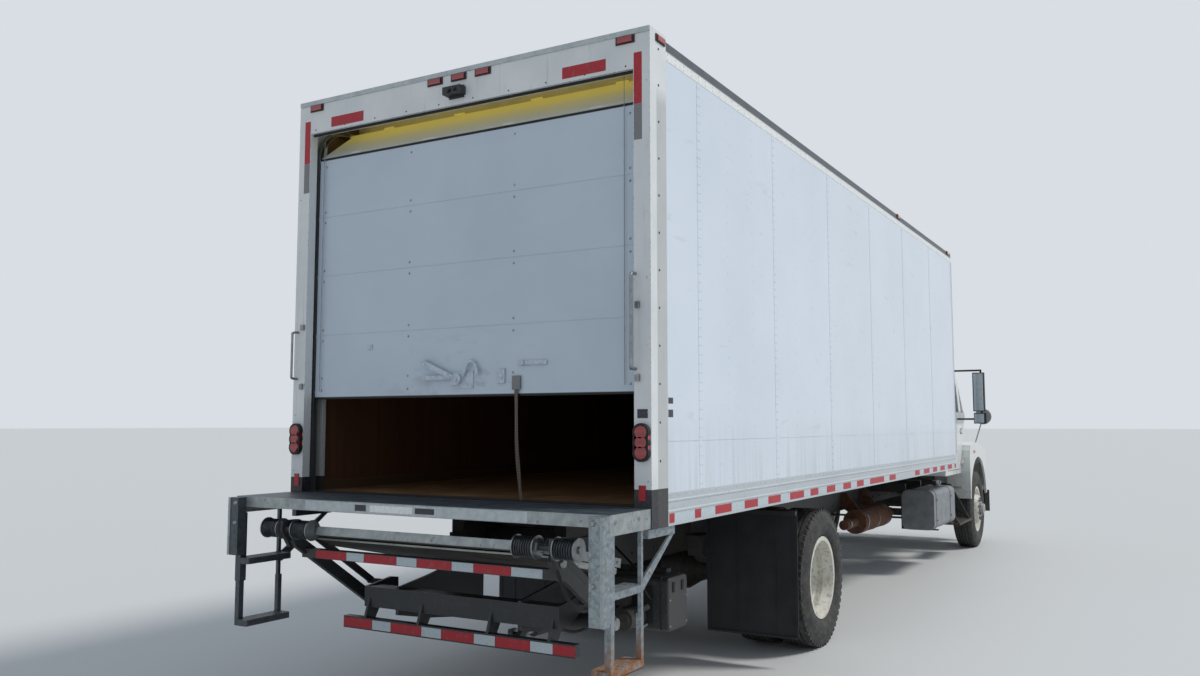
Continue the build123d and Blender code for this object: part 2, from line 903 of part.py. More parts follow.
# Fixed cab glass: windshield, two quarter panes and the rear pane
pane_depth = 15
with BuildPart() as cab_glass:
    plate_across(
        [
            (windshield_x(windshield_base) - pane_depth, windshield_base),
            (windshield_x(windshield_head) - pane_depth, windshield_head),
            (windshield_x(windshield_head) - pane_depth - glass_thickness, windshield_head),
            (windshield_x(windshield_base) - pane_depth - glass_thickness, windshield_base),
        ],
        (-windshield_half, windshield_half),
    )
    block((ahead(cab_back_ahead) + pane_depth, ahead(cab_back_ahead) + pane_depth + glass_thickness),
          (-rear_window_half, rear_window_half), rear_window_z)
cab_glass.part.label = "cab_glass"
export_step(cab_glass.part, "parts/cab_glass.step")


def side_band(side, depth_out, depth_in, x):
    """A band that follows the cab's side between two depths below its skin."""
    line = cab_side[:4]
    outer = [(side * (width - depth_out), height) for width, height in line]
    inner = [(side * (width - depth_in), height) for width, height in reversed(line)]
    plate_along(outer + inner, x)


def grown(points, amount):
    """Door outline points moved in from the opening by the door gap."""
    middle = ahead((door_rear_ahead + door_front_ahead) / 2)
    level = (door_sill + door_head) / 2
    moved = []
    for x, z in points:
        moved.append((x + amount * (1 if x < middle else -1), z + amount * (1 if z < level else -1)))
    return moved


for name, side in sides:
    with BuildPart() as door:
        side_band(side, 0, door_depth, (ahead(door_rear_ahead), ahead(door_front_ahead)))
        plate_across(
            grown(outline_at_cab(door_outline), door_gap),
            (side * 900, side * 1200),
            Mode.INTERSECT,
        )
        plate_across(outline_at_cab(door_window), (side * 900, side * 1200), Mode.SUBTRACT)
        for low, high in hinge_heights:
            knuckle_z = (low + hinge_ear + 1, high - hinge_ear - 1)
            strap = (side * (hinge_half - 5), side * (hinge_half + 5))
            block((hinge_x - strap_reach, hinge_x), strap, knuckle_z)
            block((hinge_x - strap_reach, hinge_x - 22), (side * (hinge_half - 26), strap[0]), knuckle_z)
            rod_up(hinge_x, side * hinge_half, knuckle_z, hinge_barrel)
            rod_up(hinge_x, side * hinge_half, (low, high), hinge_pin + running_gap, Mode.SUBTRACT)
    door.part.label = f"cab_door_{name}"
    export_step(door.part, f"parts/cab_door_{name}.step")

    with BuildPart() as door_glass:
        side_band(side, pane_depth, pane_depth + glass_thickness,
                  (ahead(door_rear_ahead), ahead(door_front_ahead)))
        plate_across(outline_at_cab(door_window), (side * 900, side * 1200), Mode.INTERSECT)
    door_glass.part.label = f"door_glass_{name}"
    export_step(door_glass.part, f"parts/door_glass_{name}.step")

# Hood

# Hood sections, as (ahead, half width, shoulder height, crown height)
hood_sections = (
    (hood_rear_ahead, 800, 1600, 1745),
    (400, 730, 1530, 1665),
    (760, 660, 1400, 1530),
    (900, 610, 1240, 1370),
)
hood_base = 790
fender_inner = 885
fender_front_ahead = 890
# Fender outline seen from the side, as (ahead, height)
fender_outline = [
    (-632, 700),
    (-632, 1250),
    (-600, 1340),
    (-540, 1410),
    (-300, 1450),
    (100, 1425),
    (480, 1350),
    (740, 1240),
    (860, 1130),
    (fender_front_ahead, 990),
    (fender_front_ahead, hood_base),
    (700, 740),
    (580, 700),
]


def hood_centre(inset, low):
    """The hood's centre, lofted through its four sections."""
    sections = []
    for index, (distance, half, shoulder, crown) in enumerate(hood_sections):
        x = ahead(distance)
        if inset and index == 0:
            x -= 20
        if inset and index == len(hood_sections) - 1:
            x -= inset
        with BuildSketch(Plane.YZ.offset(x)) as section:
            with BuildLine():
                Polyline(
                    (-half + inset, shoulder - inset),
                    (-half + inset, low),
                    (half - inset, low),
                    (half - inset, shoulder - inset),
                )
                ThreePointArc(
                    (half - inset, shoulder - inset),
                    (0, crown - inset),
                    (-half + inset, shoulder - inset),
                )
            make_face()
        sections.append(section.sketch)
    loft(sections, ruled=True)


def fender_plan(inset, side):
    """Fender outline seen from above, as (x, y) points."""
    inner = fender_inner + inset
    outer = fender_half_width - inset
    return [
        (ahead(-632 + inset), side * inner),
        (ahead(-632 + inset), side * outer),
        (ahead(640), side * outer),
        (ahead(fender_front_ahead - inset), side * (outer - 120)),
        (ahead(fender_front_ahead - inset), side * 500),
        (ahead(hood_rear_ahead + inset), side * 500),
        (ahead(hood_rear_ahead + inset), side * inner),
    ]


hood_ear_half = 440
horn_slot_half = (393, 429)
horn_slot_top = 844
hood_pin_radius = 12
grille_half = 400
grille_z = (850, 1210)
headlamp_y = (660, 960)
headlamp_z = (900, 1060)
with BuildPart() as hood_void:
    hood_centre(hood_wall, hood_base - 100)
for name, side in sides:
    with BuildPart() as fender_void:
        plate_across(outline_at_cab(fender_outline), (side * 500, side * 1300), inset=hood_wall)
        plate_up(fender_plan(hood_wall, side), (400, 1700), Mode.INTERSECT)
        block((ahead(-600), ahead(fender_front_ahead - hood_wall)), (side * 500, side * 1300),
              (600, hood_base + 40))
        plate_up(fender_plan(hood_wall, side), (400, 1700), Mode.INTERSECT)
    if side == 1:
        left_void = fender_void.part
with BuildPart() as fender_left:
    plate_across(outline_at_cab(fender_outline), (500, 1300))
    plate_up(fender_plan(0, 1), (400, 1700), Mode.INTERSECT)
with BuildPart() as hood:
    hood_centre(0, hood_base)
    add(fender_left.part)
    add(mirror(fender_left.part, about=Plane.XZ, mode=Mode.PRIVATE))
    add(hood_void.part, mode=Mode.SUBTRACT)
    add(left_void, mode=Mode.SUBTRACT)
    add(mirror(left_void, about=Plane.XZ, mode=Mode.PRIVATE), mode=Mode.SUBTRACT)
    for side in (1, -1):
        with BuildSketch(Plane.XZ.offset(-max(side * 560, side * 1300))) as arch:
            with Locations((front_axle_x, arch_centre)):
                Ellipse(arch_half_length, arch_top - arch_centre)
        extrude(arch.sketch, amount=740, mode=Mode.SUBTRACT)
        block((ahead(-arch_half_length), ahead(arch_half_length)), (side * 560, side * 1300),
              (500, arch_centre), Mode.SUBTRACT)
        block((ahead(700), ahead(960)), (side * headlamp_y[0], side * headlamp_y[1]),
              headlamp_z, Mode.SUBTRACT)
    block((ahead(700), ahead(960)), (-grille_half, grille_half), grille_z, Mode.SUBTRACT)
    for side in (1, -1):
        block((ahead(800), ahead(960)), (side * horn_slot_half[0], side * horn_slot_half[1]),
              (hood_base - 20, horn_slot_top), Mode.SUBTRACT)
    for side in (1, -1):
        block((ahead(hood_pivot_ahead - 30), ahead(hood_sections[3][0] - 5)),
              (side * (hood_ear_half - 10), side * (hood_ear_half + 10)),
              (hood_pivot_height - 18, hood_pivot_height + 60))
        rod_across(ahead(hood_pivot_ahead), (side * (hood_ear_half - 15), side * (hood_ear_half + 15)),
                   hood_pivot_height, hood_pin_radius + running_gap, Mode.SUBTRACT)
hood.part.label = "hood"
export_step(hood.part, "parts/hood.step")

# Grille: a frame with level slats in the hood's nose
slat_count = 7
slat_height = 14
with BuildPart() as grille:
    block((ahead(858), ahead(892)), (-grille_half, grille_half), grille_z)
    block((ahead(850), ahead(900)), (-grille_half + 24, grille_half - 24),
          (grille_z[0] + 24, grille_z[1] - 24), Mode.SUBTRACT)
    pitch = (grille_z[1] - grille_z[0] - 48) / (slat_count + 1)
    for index in range(slat_count):
        level = grille_z[0] + 24 + pitch * (index + 1)
        block((ahead(862), ahead(888)), (-grille_half, grille_half),
              (level - slat_height / 2, level + slat_height / 2))
grille.part.label = "grille"
export_step(grille.part, "parts/grille.step")

# Headlamps, one lens block in each fender's nose
with BuildPart() as headlamps:
    for side in (1, -1):
        block((ahead(840), ahead(886)), (side * headlamp_y[0], side * headlamp_y[1]), headlamp_z)
headlamps.part.label = "headlamps"
export_step(headlamps.part, "parts/headlamps.step")

# Front bumper with swept ends
with BuildPart() as front_bumper:
    plate_up(
        [
            (ahead(940), -700),
            (ahead(940), 700),
            (ahead(820), bumper_half_width - 60),
            (ahead(840), bumper_half_width),
            (ahead(front_overhang), 760),
            (ahead(front_overhang), -760),
            (ahead(840), -bumper_half_width),
            (ahead(820), -bumper_half_width + 60),
        ],
        (bumper_base, bumper_top),
    )
front_bumper.part.label = "front_bumper"
export_step(front_bumper.part, "parts/front_bumper.step")

# Right side: fuel tank on two brackets; left side: battery box and air tanks
tank_ahead = (-3012, -1812)
tank_y = (840, 1200)
tank_z = (494, 938)
tank_corner = 70
bracket_places = (-2812, -2012)
filler_radius = 45
with BuildPart() as fuel_tank:
    block((ahead(tank_ahead[0]), ahead(tank_ahead[1])), (-tank_y[0], -tank_y[1]), tank_z)
    fillet(fuel_tank.edges().filter_by(Axis.X), tank_corner)
    rod_up(ahead(tank_ahead[1] - 150), -(tank_y[0] + tank_y[1]) / 2, (tank_z[1] - 5, tank_z[1] + 45),
           filler_radius)
    for place in bracket_places:
        with BuildSketch(Plane.YZ.offset(ahead(place - 80))) as band:
            with Locations((-(tank_y[0] + tank_y[1]) / 2, (tank_z[0] + tank_z[1]) / 2)):
                RectangleRounded(tank_y[1] - tank_y[0] + 8, tank_z[1] - tank_z[0] + 8, tank_corner + 4)
        extrude(band.sketch, amount=45)
fuel_tank.part.label = "fuel_tank"
export_step(fuel_tank.part, "parts/fuel_tank.step")

# Cab steps on both sides, hung from the rails, the left one over the battery box
step_hangers = (-1482, -762)
upper_step = (-1712, -1212)
lower_step = (-1522, -682)
battery_ahead = (-2462, -1722)
battery_y = (600, 1180)
battery_z = (560, 890)
with BuildPart() as cab_steps:
    for side in (1, -1):
        block((ahead(upper_step[0]), ahead(upper_step[1])), (side * 900, side * battery_y[1]),
              (battery_z[1] - 25, battery_z[1]))
        block((ahead(lower_step[0]), ahead(lower_step[1])), (side * 960, side * 1200), (425, 450))
        for place in step_hangers:
            plate_along(
                [
                    (side * rail_half_width, 790),
                    (side * rail_half_width, 1000),
                    (side * 960, 890),
                    (side * 1185, 450),
                    (side * 1130, 450),
                    (side * 900, 830),
                ],
                (ahead(place) - 10, ahead(place) + 10),
            )
        block((ahead(battery_ahead[1]), ahead(step_hangers[0] + 10)), (side * 900, side * 920),
              (840, battery_z[1]))
    block((ahead(battery_ahead[0]), ahead(battery_ahead[1])), battery_y, battery_z)
    block((ahead(battery_ahead[0] + 200), ahead(battery_ahead[1] - 240)), (rail_half_width, battery_y[0]),
          (800, battery_z[1]))
cab_steps.part.label = "cab_steps"
export_step(cab_steps.part, "parts/cab_steps.step")

# Exhaust can on the right, with its pipes and hangers
exhaust_y = -620
exhaust_z = 660
can_ahead = (-4162, -3062)
pipe_ahead = (-4562, -2662)
can_radius = 125
pipe_radius = 50
with BuildPart() as exhaust:
    rod_along((ahead(can_ahead[0]), ahead(can_ahead[1])), exhaust_y, exhaust_z, can_radius)
    rod_along((ahead(pipe_ahead[0]), ahead(pipe_ahead[1])), exhaust_y, exhaust_z, pipe_radius)
    for place in (can_ahead[0] + 200, can_ahead[1] - 200):
        plate_along(
            [(-rail_half_width, 790), (-rail_half_width, 950), (-480, 950), (exhaust_y, 780), (-560, 700)],
            (ahead(place) - 15, ahead(place) + 15),
        )
exhaust.part.label = "exhaust"
export_step(exhaust.part, "parts/exhaust.step")

# Mud flaps behind the rear wheels, hung from bars on the rails
flap_station = 2250
with BuildPart() as mud_flaps:
    for side in (1, -1):
        block((at(flap_station), at(flap_station) + 8), (side * 590, side * 1280), (200, 1090))
mud_flaps.part.label = "mud_flaps"
export_step(mud_flaps.part, "parts/mud_flaps.step")

# Frame fittings: horns for bumper and hood, tank straps, flap bars and air tanks
air_tank_places = (-4562, -3662)
air_tank_half = 620
horn_thickness = 24
with BuildPart() as frame_fittings:
    for side in (1, -1):
        plate_across(
            [
                (ahead(640), 840),
                (ahead(640), 1000),
                (ahead(rail_front_ahead), 1000),
                (ahead(hood_pivot_ahead + 20), hood_pivot_height + 15),
                (ahead(870), 700),
                (ahead(940), 690),
                (ahead(940), 500),
                (ahead(815), 560),
                (ahead(815), 840),
            ],
            (side * (web_inner - horn_thickness), side * web_inner),
        )
        pin_y = (side * (web_inner - horn_thickness), side * (hood_ear_half + 16))
        rod_across(ahead(hood_pivot_ahead), pin_y, hood_pivot_height, hood_pin_radius)
        block((at(flap_station) - 30, at(flap_station)), (side * rail_half_width, side * 1280),
              (1050, 1080))
        block((at(flap_station) - 30, at(flap_station)), (side * rail_half_width, side * 480),
              (900, 1080))
    for place in bracket_places:
        bracket_x = (ahead(place) - 25, ahead(place) + 25)
        plate_along(
            [
                (-rail_half_width, 900),
                (-rail_half_width, 1000),
                (-tank_y[0], 1000),
                (-tank_y[0], 480),
                (-tank_y[0] + 50, 480),
                (-tank_y[0] + 50, 900),
            ],
            bracket_x,
        )
        block(bracket_x, (-tank_y[0] + 50, -tank_y[1]), (tank_z[0] - 14, tank_z[0]))
    for place in air_tank_places:
        rod_along((ahead(place), ahead(place + 750)), air_tank_half, 860, 115)
        for offset_x in (100, 600):
            block((ahead(place + offset_x), ahead(place + offset_x + 40)),
                  (rail_half_width, air_tank_half), (840, 880))
    block((at(960), at(1020)), (-rail_half_width, -900), (790, 815))
frame_fittings.part.label = "frame_fittings"
export_step(frame_fittings.part, "parts/frame_fittings.step")

# Inside the cab
wheel_centre = (ahead(-640), 450, 1650)
column_foot = (ahead(-470), 450, 1500)
# Dashboard with the steering wheel on its column
with BuildPart() as dashboard:
    plate_across(
        [
            (ahead(-300), 1380),
            (ahead(-480), 1380),
            (ahead(-560), 1480),
            (ahead(-560), 1640),
            (ahead(-430), 1720),
            (ahead(-330), 1700),
        ],
        (-800, 800),
    )
    block((ahead(-301), ahead(-150) - cab_wall), (-700, 700), (1400, 1600))
    direction = Vector(*wheel_centre) - Vector(*column_foot)
    tilt = Plane(origin=wheel_centre, x_dir=(0, 1, 0), z_dir=direction)
    with BuildSketch(tilt) as rim_line:
        Circle(225)
        Circle(200, mode=Mode.SUBTRACT)
    extrude(rim_line.sketch, amount=12, both=True)
    with BuildSketch(tilt) as spokes:
        Rectangle(410, 36)
        Rectangle(36, 410)
        Circle(60)
    extrude(spokes.sketch, amount=6, both=True)
    rod_between(column_foot, wheel_centre, 28)
dashboard.part.label = "dashboard"
export_step(dashboard.part, "parts/dashboard.step")

seat_rows = ((450, 520), (-450, 620))
with BuildPart() as seats:
    for middle, width in seat_rows:
        half = width / 2
        plate_across(
            [
                (ahead(-900), cab_floor),
                (ahead(-1300), cab_floor),
                (ahead(-1300), 1350),
                (ahead(-1480), 1350),
                (ahead(-1610), 2030),
                (ahead(-1490), 2050),
                (ahead(-1400), 1530),
                (ahead(-880), 1540),
                (ahead(-850), 1440),
                (ahead(-900), 1400),
            ],
            (middle - half, middle + half),
        )
seats.part.label = "seats"
export_step(seats.part, "parts/seats.step")

# Door mirrors on their arms, and the round mirrors on the hood
mirror_ahead = -880
for name, side in sides:
    with BuildPart() as door_mirror:
        mirror_x = (ahead(mirror_ahead) - 35, ahead(mirror_ahead) + 35)
        block(mirror_x, (side * 1300, side * 1443), (1860, 2370))
        block(mirror_x, (side * 1305, side * 1460), (1700, 1840))
        for level in (1760, 2400):
            reach = cab_side_at(level - 12) + 0.2
            rod_across(ahead(mirror_ahead), (side * reach, side * 1400), level, 12)
        rod_up(ahead(mirror_ahead), side * 1400, (1700, 2412), 12)
    door_mirror.part.label = f"door_mirror_{name}"
    export_step(door_mirror.part, f"parts/door_mirror_{name}.step")

with BuildPart() as hood_mirrors:
    for side in (1, -1):
        rod_between((ahead(140), side * 1125, 1400), (ahead(140), side * 1250, 1790), 8)
        rod_along((ahead(120), ahead(160)), side * 1250, 1800, 110)
    add(hood.part, mode=Mode.SUBTRACT)
hood_mirrors.part.label = "hood_mirrors"
export_step(hood_mirrors.part, "parts/hood_mirrors.step")

# Van body

body_front = at(body_length)
wall_rear = at(post_depth)
wall_front = at(body_length - front_return)

# Subframe: two long sills on the rails, and a row of crossmembers under the floor
with BuildPart() as body_sills:
    for side in (1, -1):
        block((at(rail_rear_station), at(body_length - front_wall_thickness)),
              (side * (rail_half_width - rail_flange), side * rail_half_width), (rail_top, body_base))
body_sills.part.label = "body_sills"
export_step(body_sills.part, "parts/body_sills.step")

crossmember_count = int((body_length - post_depth - 200) / crossmember_pitch)
with BuildPart() as body_subframe:
    for index in range(crossmember_count + 1):
        x = at(post_depth + 160 + index * crossmember_pitch)
        plate_across(
            [
                (x, body_base),
                (x + crossmember_width, body_base),
                (x + crossmember_width, body_base + crossmember_web),
                (x + crossmember_web, body_base + crossmember_web),
                (x + crossmember_web, floor_top - deck_thickness - crossmember_web),
                (x + crossmember_width, floor_top - deck_thickness - crossmember_web),
                (x + crossmember_width, floor_top - deck_thickness),
                (x, floor_top - deck_thickness),
            ],
            (-lining_half, lining_half),
        )
body_subframe.part.label = "body_subframe"
export_step(body_subframe.part, "parts/body_subframe.step")

with BuildPart() as load_floor:
    block((wall_rear, body_front - front_wall_thickness), (-lining_half, lining_half),
          (floor_top - deck_thickness, floor_top))
load_floor.part.label = "load_floor"
export_step(load_floor.part, "parts/load_floor.step")

# Body rails: ribbed side rails at the floor and top rails at the roof
ridges = (1232, 1287)
with BuildPart() as body_rails:
    for name, side in sides:
        outline = [
            (side * lining_half, body_base),
            (side * skin_half, body_base),
        ]
        for ridge in ridges:
            outline += [
                (side * skin_half, ridge - 8),
                (side * body_half, ridge - 4),
                (side * body_half, ridge + 4),
                (side * skin_half, ridge + 8),
            ]
        outline += [(side * skin_half, side_rail_top), (side * lining_half, side_rail_top)]
        plate_along(outline, (wall_rear, wall_front))
        plate_along(
            [
                (side * lining_half, top_rail_base),
                (side * skin_half, top_rail_base),
                (side * skin_half, top_rail_base + 50),
                (side * body_half, top_rail_base + 54),
                (side * body_half, top_rail_top - 15),
                (side * (body_half - 15), top_rail_top),
                (side * lining_half, top_rail_top),
            ],
            (wall_rear, wall_front),
        )
body_rails.part.label = "body_rails"
export_step(body_rails.part, "parts/body_rails.step")

# Body walls: two sides, and a front wall with rounded corners that return along them
corner_block = 800
with BuildPart() as body_walls:
    for name, side in sides:
        block((wall_rear, wall_front), (side * lining_half, side * skin_half),
              (side_rail_top, top_rail_base))
    with BuildSketch(Plane.XY.offset(body_base)):
        with Locations((body_front - corner_block / 2, 0)):
            Rectangle(corner_block, 2 * skin_half)
        fillet(vertices().group_by(Axis.X)[-1], front_corner_radius)
        with Locations((body_front - front_wall_thickness - corner_block / 2, 0)):
            Rectangle(corner_block, 2 * lining_half, mode=Mode.SUBTRACT)
        with Locations((wall_front - corner_block / 2, 0)):
            Rectangle(corner_block, body_width, mode=Mode.SUBTRACT)
    extrude(amount=top_rail_top - body_base)
body_walls.part.label = "body_walls"
export_step(body_walls.part, "parts/body_walls.step")

# Roof: one skin on bows that rest on the top rails
roof_base = top_rail_top - roof_thickness
bow_count = int((body_length - post_depth - 400) / bow_pitch)
with BuildPart() as roof:
    block((wall_rear, body_front - front_wall_thickness), (-lining_half, lining_half),
          (roof_base, top_rail_top))
    for index in range(bow_count + 1):
        x = at(post_depth + 300 + index * bow_pitch)
        block((x, x + bow_width), (-lining_half, lining_half), (roof_base - bow_depth, roof_base))
roof.part.label = "roof"
export_step(roof.part, "parts/roof.step")

# Rear frame: two channel posts on castings, a sill, a header and the camera below it
post_inner = body_half - post_width
track_outer = door_half_width + 8 + track_depth
camera_y = (-75, 55)
camera_z = (body_top - 170, body_top - 124)
camera_reach = 60
with BuildPart() as rear_frame:
    for side in (1, -1):
        plate_up(
            [
                (at(0), side * post_inner),
                (at(0), side * body_half),
                (at(post_depth), side * body_half),
                (at(post_depth), side * post_inner),
                (at(post_depth - 25), side * post_inner),
                (at(post_depth - 25), side * (body_half - post_web)),
                (at(post_lip), side * (body_half - post_web)),
                (at(post_lip), side * post_inner),
            ],
            (post_base, body_top),
        )
        block((at(0), at(post_depth)), (side * post_inner, side * body_half), (body_base, post_base))
        block((at(post_lip), at(post_depth - 25)), (side * post_inner, side * (body_half - post_web)),
              (floor_top, post_base), Mode.SUBTRACT)
        block((at(post_depth - 25), at(post_depth)), (side * post_inner, side * (track_outer + 4)),
              (track_turn_base - 40, body_top - header_cap), Mode.SUBTRACT)
    block((at(0), at(post_depth)), (-body_half, body_half), (body_base, floor_top))
    block((at(0), at(header_depth)), (-body_half, body_half), (header_base, body_top))
    block((at(0), at(post_depth)), (-body_half, body_half), (body_top - header_cap, body_top))
    block((at(0) - camera_reach, at(0)), camera_y, camera_z)
rear_frame.part.label = "rear_frame"
export_step(rear_frame.part, "parts/rear_frame.step")

# Roll-up door: upright panels, one panel leaning in and one along the ceiling
lean_run = (panel_height ** 2 - track_turn_radius ** 2) ** 0.5
door_joints = [(door_plane, door_base)]
for index in range(upright_panels, -1, -1):
    door_joints.append((door_plane, track_turn_base - index * panel_height))
door_joints.append((door_plane + lean_run, track_level))
door_joints.append((door_plane + lean_run + panel_height, track_level))
with BuildPart() as rollup_door:
    for start, end in zip(door_joints, door_joints[1:]):
        run = hypot(end[0] - start[0], end[1] - start[1])
        ux, uz = (end[0] - start[0]) / run, (end[1] - start[1]) / run
        nx, nz = -uz * door_thickness / 2, ux * door_thickness / 2
        trim = panel_joint / 2
        a = (at(start[0] + ux * trim), start[1] + uz * trim)
        b = (at(end[0] - ux * trim), end[1] - uz * trim)
        plate_across(
            [
                (a[0] + nx, a[1] + nz),
                (b[0] + nx, b[1] + nz),
                (b[0] - nx, b[1] - nz),
                (a[0] - nx, a[1] - nz),
            ],
            (-door_half_width, door_half_width),
        )
    for x, z in door_joints[1:-1]:
        for y in (-900, -300, 300, 900):
            block((at(x) + 8, at(x) + 20), (y - 40, y + 40), (z - 30, z + 30))
    for x, z in [(door_plane, door_base + 40)] + door_joints[1:-1]:
        for side in (1, -1):
            rod_across(at(x), (side * (door_half_width - 8), side * (track_outer - track_wall - 0.3)),
                       z, track_width / 2 - 0.3)
rollup_door.part.label = "rollup_door"
export_step(rollup_door.part, "parts/rollup_door.step")

# Door fittings: tracks up each post and along the ceiling, latch, handle and hasp
door_face = door_plane - door_thickness / 2
# Latch plates on the bottom panel, as (right y, left y, base, top above the door's foot, thickness)
latch_plates = (
    (-90, 60, 44, 144, 6),
    (-310, -270, 74, 144, 12),
    (-600, -410, 170, 190, 12),
    (-420, -380, 34, 104, 14),
)
lever_level = door_base + 97
with BuildPart() as door_fittings:
    for side in (1, -1):
        y0 = side * (door_half_width + 8)
        y1 = side * track_outer
        for depth, mode, near in ((track_width / 2 + track_wall, Mode.ADD, y0),
                                  (track_width / 2, Mode.SUBTRACT, y0)):
            far = y1 if mode == Mode.ADD else y1 - side * track_wall
            low = floor_top
            with BuildSketch(Plane.XZ.offset(-max(near, far))) as run_up:
                with BuildLine():
                    Polyline(
                        (at(door_plane) - depth, track_turn_base),
                        (at(door_plane) - depth, low),
                        (at(door_plane) + depth, low),
                        (at(door_plane) + depth, track_turn_base),
                    )
                    RadiusArc(
                        (at(door_plane) + depth, track_turn_base),
                        (at(door_plane + track_turn_radius), track_level - depth),
                        track_turn_radius - depth,
                    )
                    Polyline(
                        (at(door_plane + track_turn_radius), track_level - depth),
                        (at(track_reach), track_level - depth),
                        (at(track_reach), track_level + depth),
                        (at(door_plane + track_turn_radius), track_level + depth),
                    )
                    RadiusArc(
                        (at(door_plane + track_turn_radius), track_level + depth),
                        (at(door_plane) - depth, track_turn_base),
                        -(track_turn_radius + depth),
                    )
                make_face()
            extrude(run_up.sketch, amount=abs(far - near), mode=mode)

    for right, left, low, high, stand_out in latch_plates:
        block((at(door_face) - stand_out, at(door_face)), (right, left), (door_base + low, door_base + high))
    rod_along((at(door_face) - 20, at(door_face) - 6), 20, lever_level, 26)
    block((at(door_face) - 26, at(door_face) - 20), (10, 270), (lever_level, lever_level + 25))
door_fittings.part.label = "door_fittings"
export_step(door_fittings.part, "parts/door_fittings.step")

# Pull strap, hanging from its bracket to the floor
strap_half = 12
strap_route = ((-400, door_base + 34), (-414, 1527), (-435, 1330), (-437, floor_top + 0.3))
with BuildPart() as pull_strap:
    edge = [(y - strap_half, z) for y, z in strap_route]
    edge += [(y + strap_half, z) for y, z in reversed(strap_route)]
    plate_along(edge, (at(door_face) - 10, at(door_face) - 7))
pull_strap.part.label = "pull_strap"
export_step(pull_strap.part, "parts/pull_strap.step")

# Lamps
marker_half = 45
markers = (1142, 157, -22, -200, -1148)
marker_level = body_top - 55
tail_lamp_level = 1597
with BuildPart() as rear_lamps:
    for y in markers:
        block((at(0) - 14, at(0)), (y - marker_half, y + marker_half),
              (marker_level - 16, marker_level + 16))
    for side in (1, -1):
        with BuildSketch(Plane.YZ.offset(at(0) - 25)) as lamp_face:
            with Locations((side * (body_half - post_width / 2), tail_lamp_level)):
                SlotOverall(194, 88, rotation=90)
        extrude(lamp_face.sketch, amount=25)
rear_lamps.part.label = "rear_lamps"
export_step(rear_lamps.part, "parts/rear_lamps.step")

# Lift: fixed pieces

with BuildPart() as bed_extension:
    block((at(-extension_depth), at(0)), (-extension_half_width, extension_half_width),
          (floor_top - 15, floor_top - 3))
    block((at(-extension_depth), at(-extension_depth + 20)), (-extension_half_width, extension_half_width),
          (1200, floor_top - 3))
    block((at(-20), at(0)), (-extension_half_width, extension_half_width), (1175, floor_top - 3))
    for side in (1, -1):
        edge_y = (side * (extension_half_width - 20), side * extension_half_width)
        block((at(-extension_depth), at(0)), edge_y, (extension_base, floor_top - 3))
bed_extension.part.label = "bed_extension"
export_step(bed_extension.part, "parts/bed_extension.step")

# Steps on both sides: a buffer, two rails with narrower feet, two treads and a brace
step_outer = extension_half_width
step_inner = 1180
step_rear = -extension_depth
step_front = -84
rail_break = 760
foot_base = 500
tread_height = 36
tread_levels = (foot_base, 862)
# Rails and feet, as (rear station, front station, depth inward, low, high)
step_posts = (
    (step_rear, step_rear + 44, 44, rail_break, extension_base),
    (step_rear + 6, step_rear + 40, 34, foot_base, rail_break),
    (step_front - 24, step_front - 4, 20, rail_break, extension_base),
    (step_front - 28, step_front, 28, foot_base, rail_break),
)
buffer_inner = 1208
buffer_bases = {"left": 920, "right": 746}
brace_top = (274, 1110)
brace_half = 22
with BuildPart() as lift_steps:
    for name, side in sides:
        outer = side * step_outer
        for rear, front, depth, low, high in step_posts:
            block((at(rear), at(front)), (outer - side * depth, outer), (low, high))
        for low in tread_levels:
            with BuildSketch(Plane.XY.offset(low)) as tread:
                with Locations((at((step_rear + step_front) / 2), side * (step_inner + step_outer) / 2)):
                    RectangleRounded(step_front - step_rear, step_outer - step_inner, 12)
            extrude(tread.sketch, amount=tread_height)
        block((at(-lift_reach), at(step_rear)), (side * buffer_inner, outer), (buffer_bases[name], 1257))
        plate_across(
            [
                (at(step_front), tread_levels[1] - brace_half),
                (at(step_front) - 12, tread_levels[1] + tread_height),
                (at(brace_top[0]) - brace_half, brace_top[1]),
                (at(brace_top[0]) + brace_half, brace_top[1]),
            ],
            (outer - side * 28, outer - side * 16),
        )
        block((at(0), at(brace_top[0]) + 30), (outer - side * 50, outer - side * 14),
              (brace_top[1], body_base))
lift_steps.part.label = "lift_steps"
export_step(lift_steps.part, "parts/lift_steps.step")

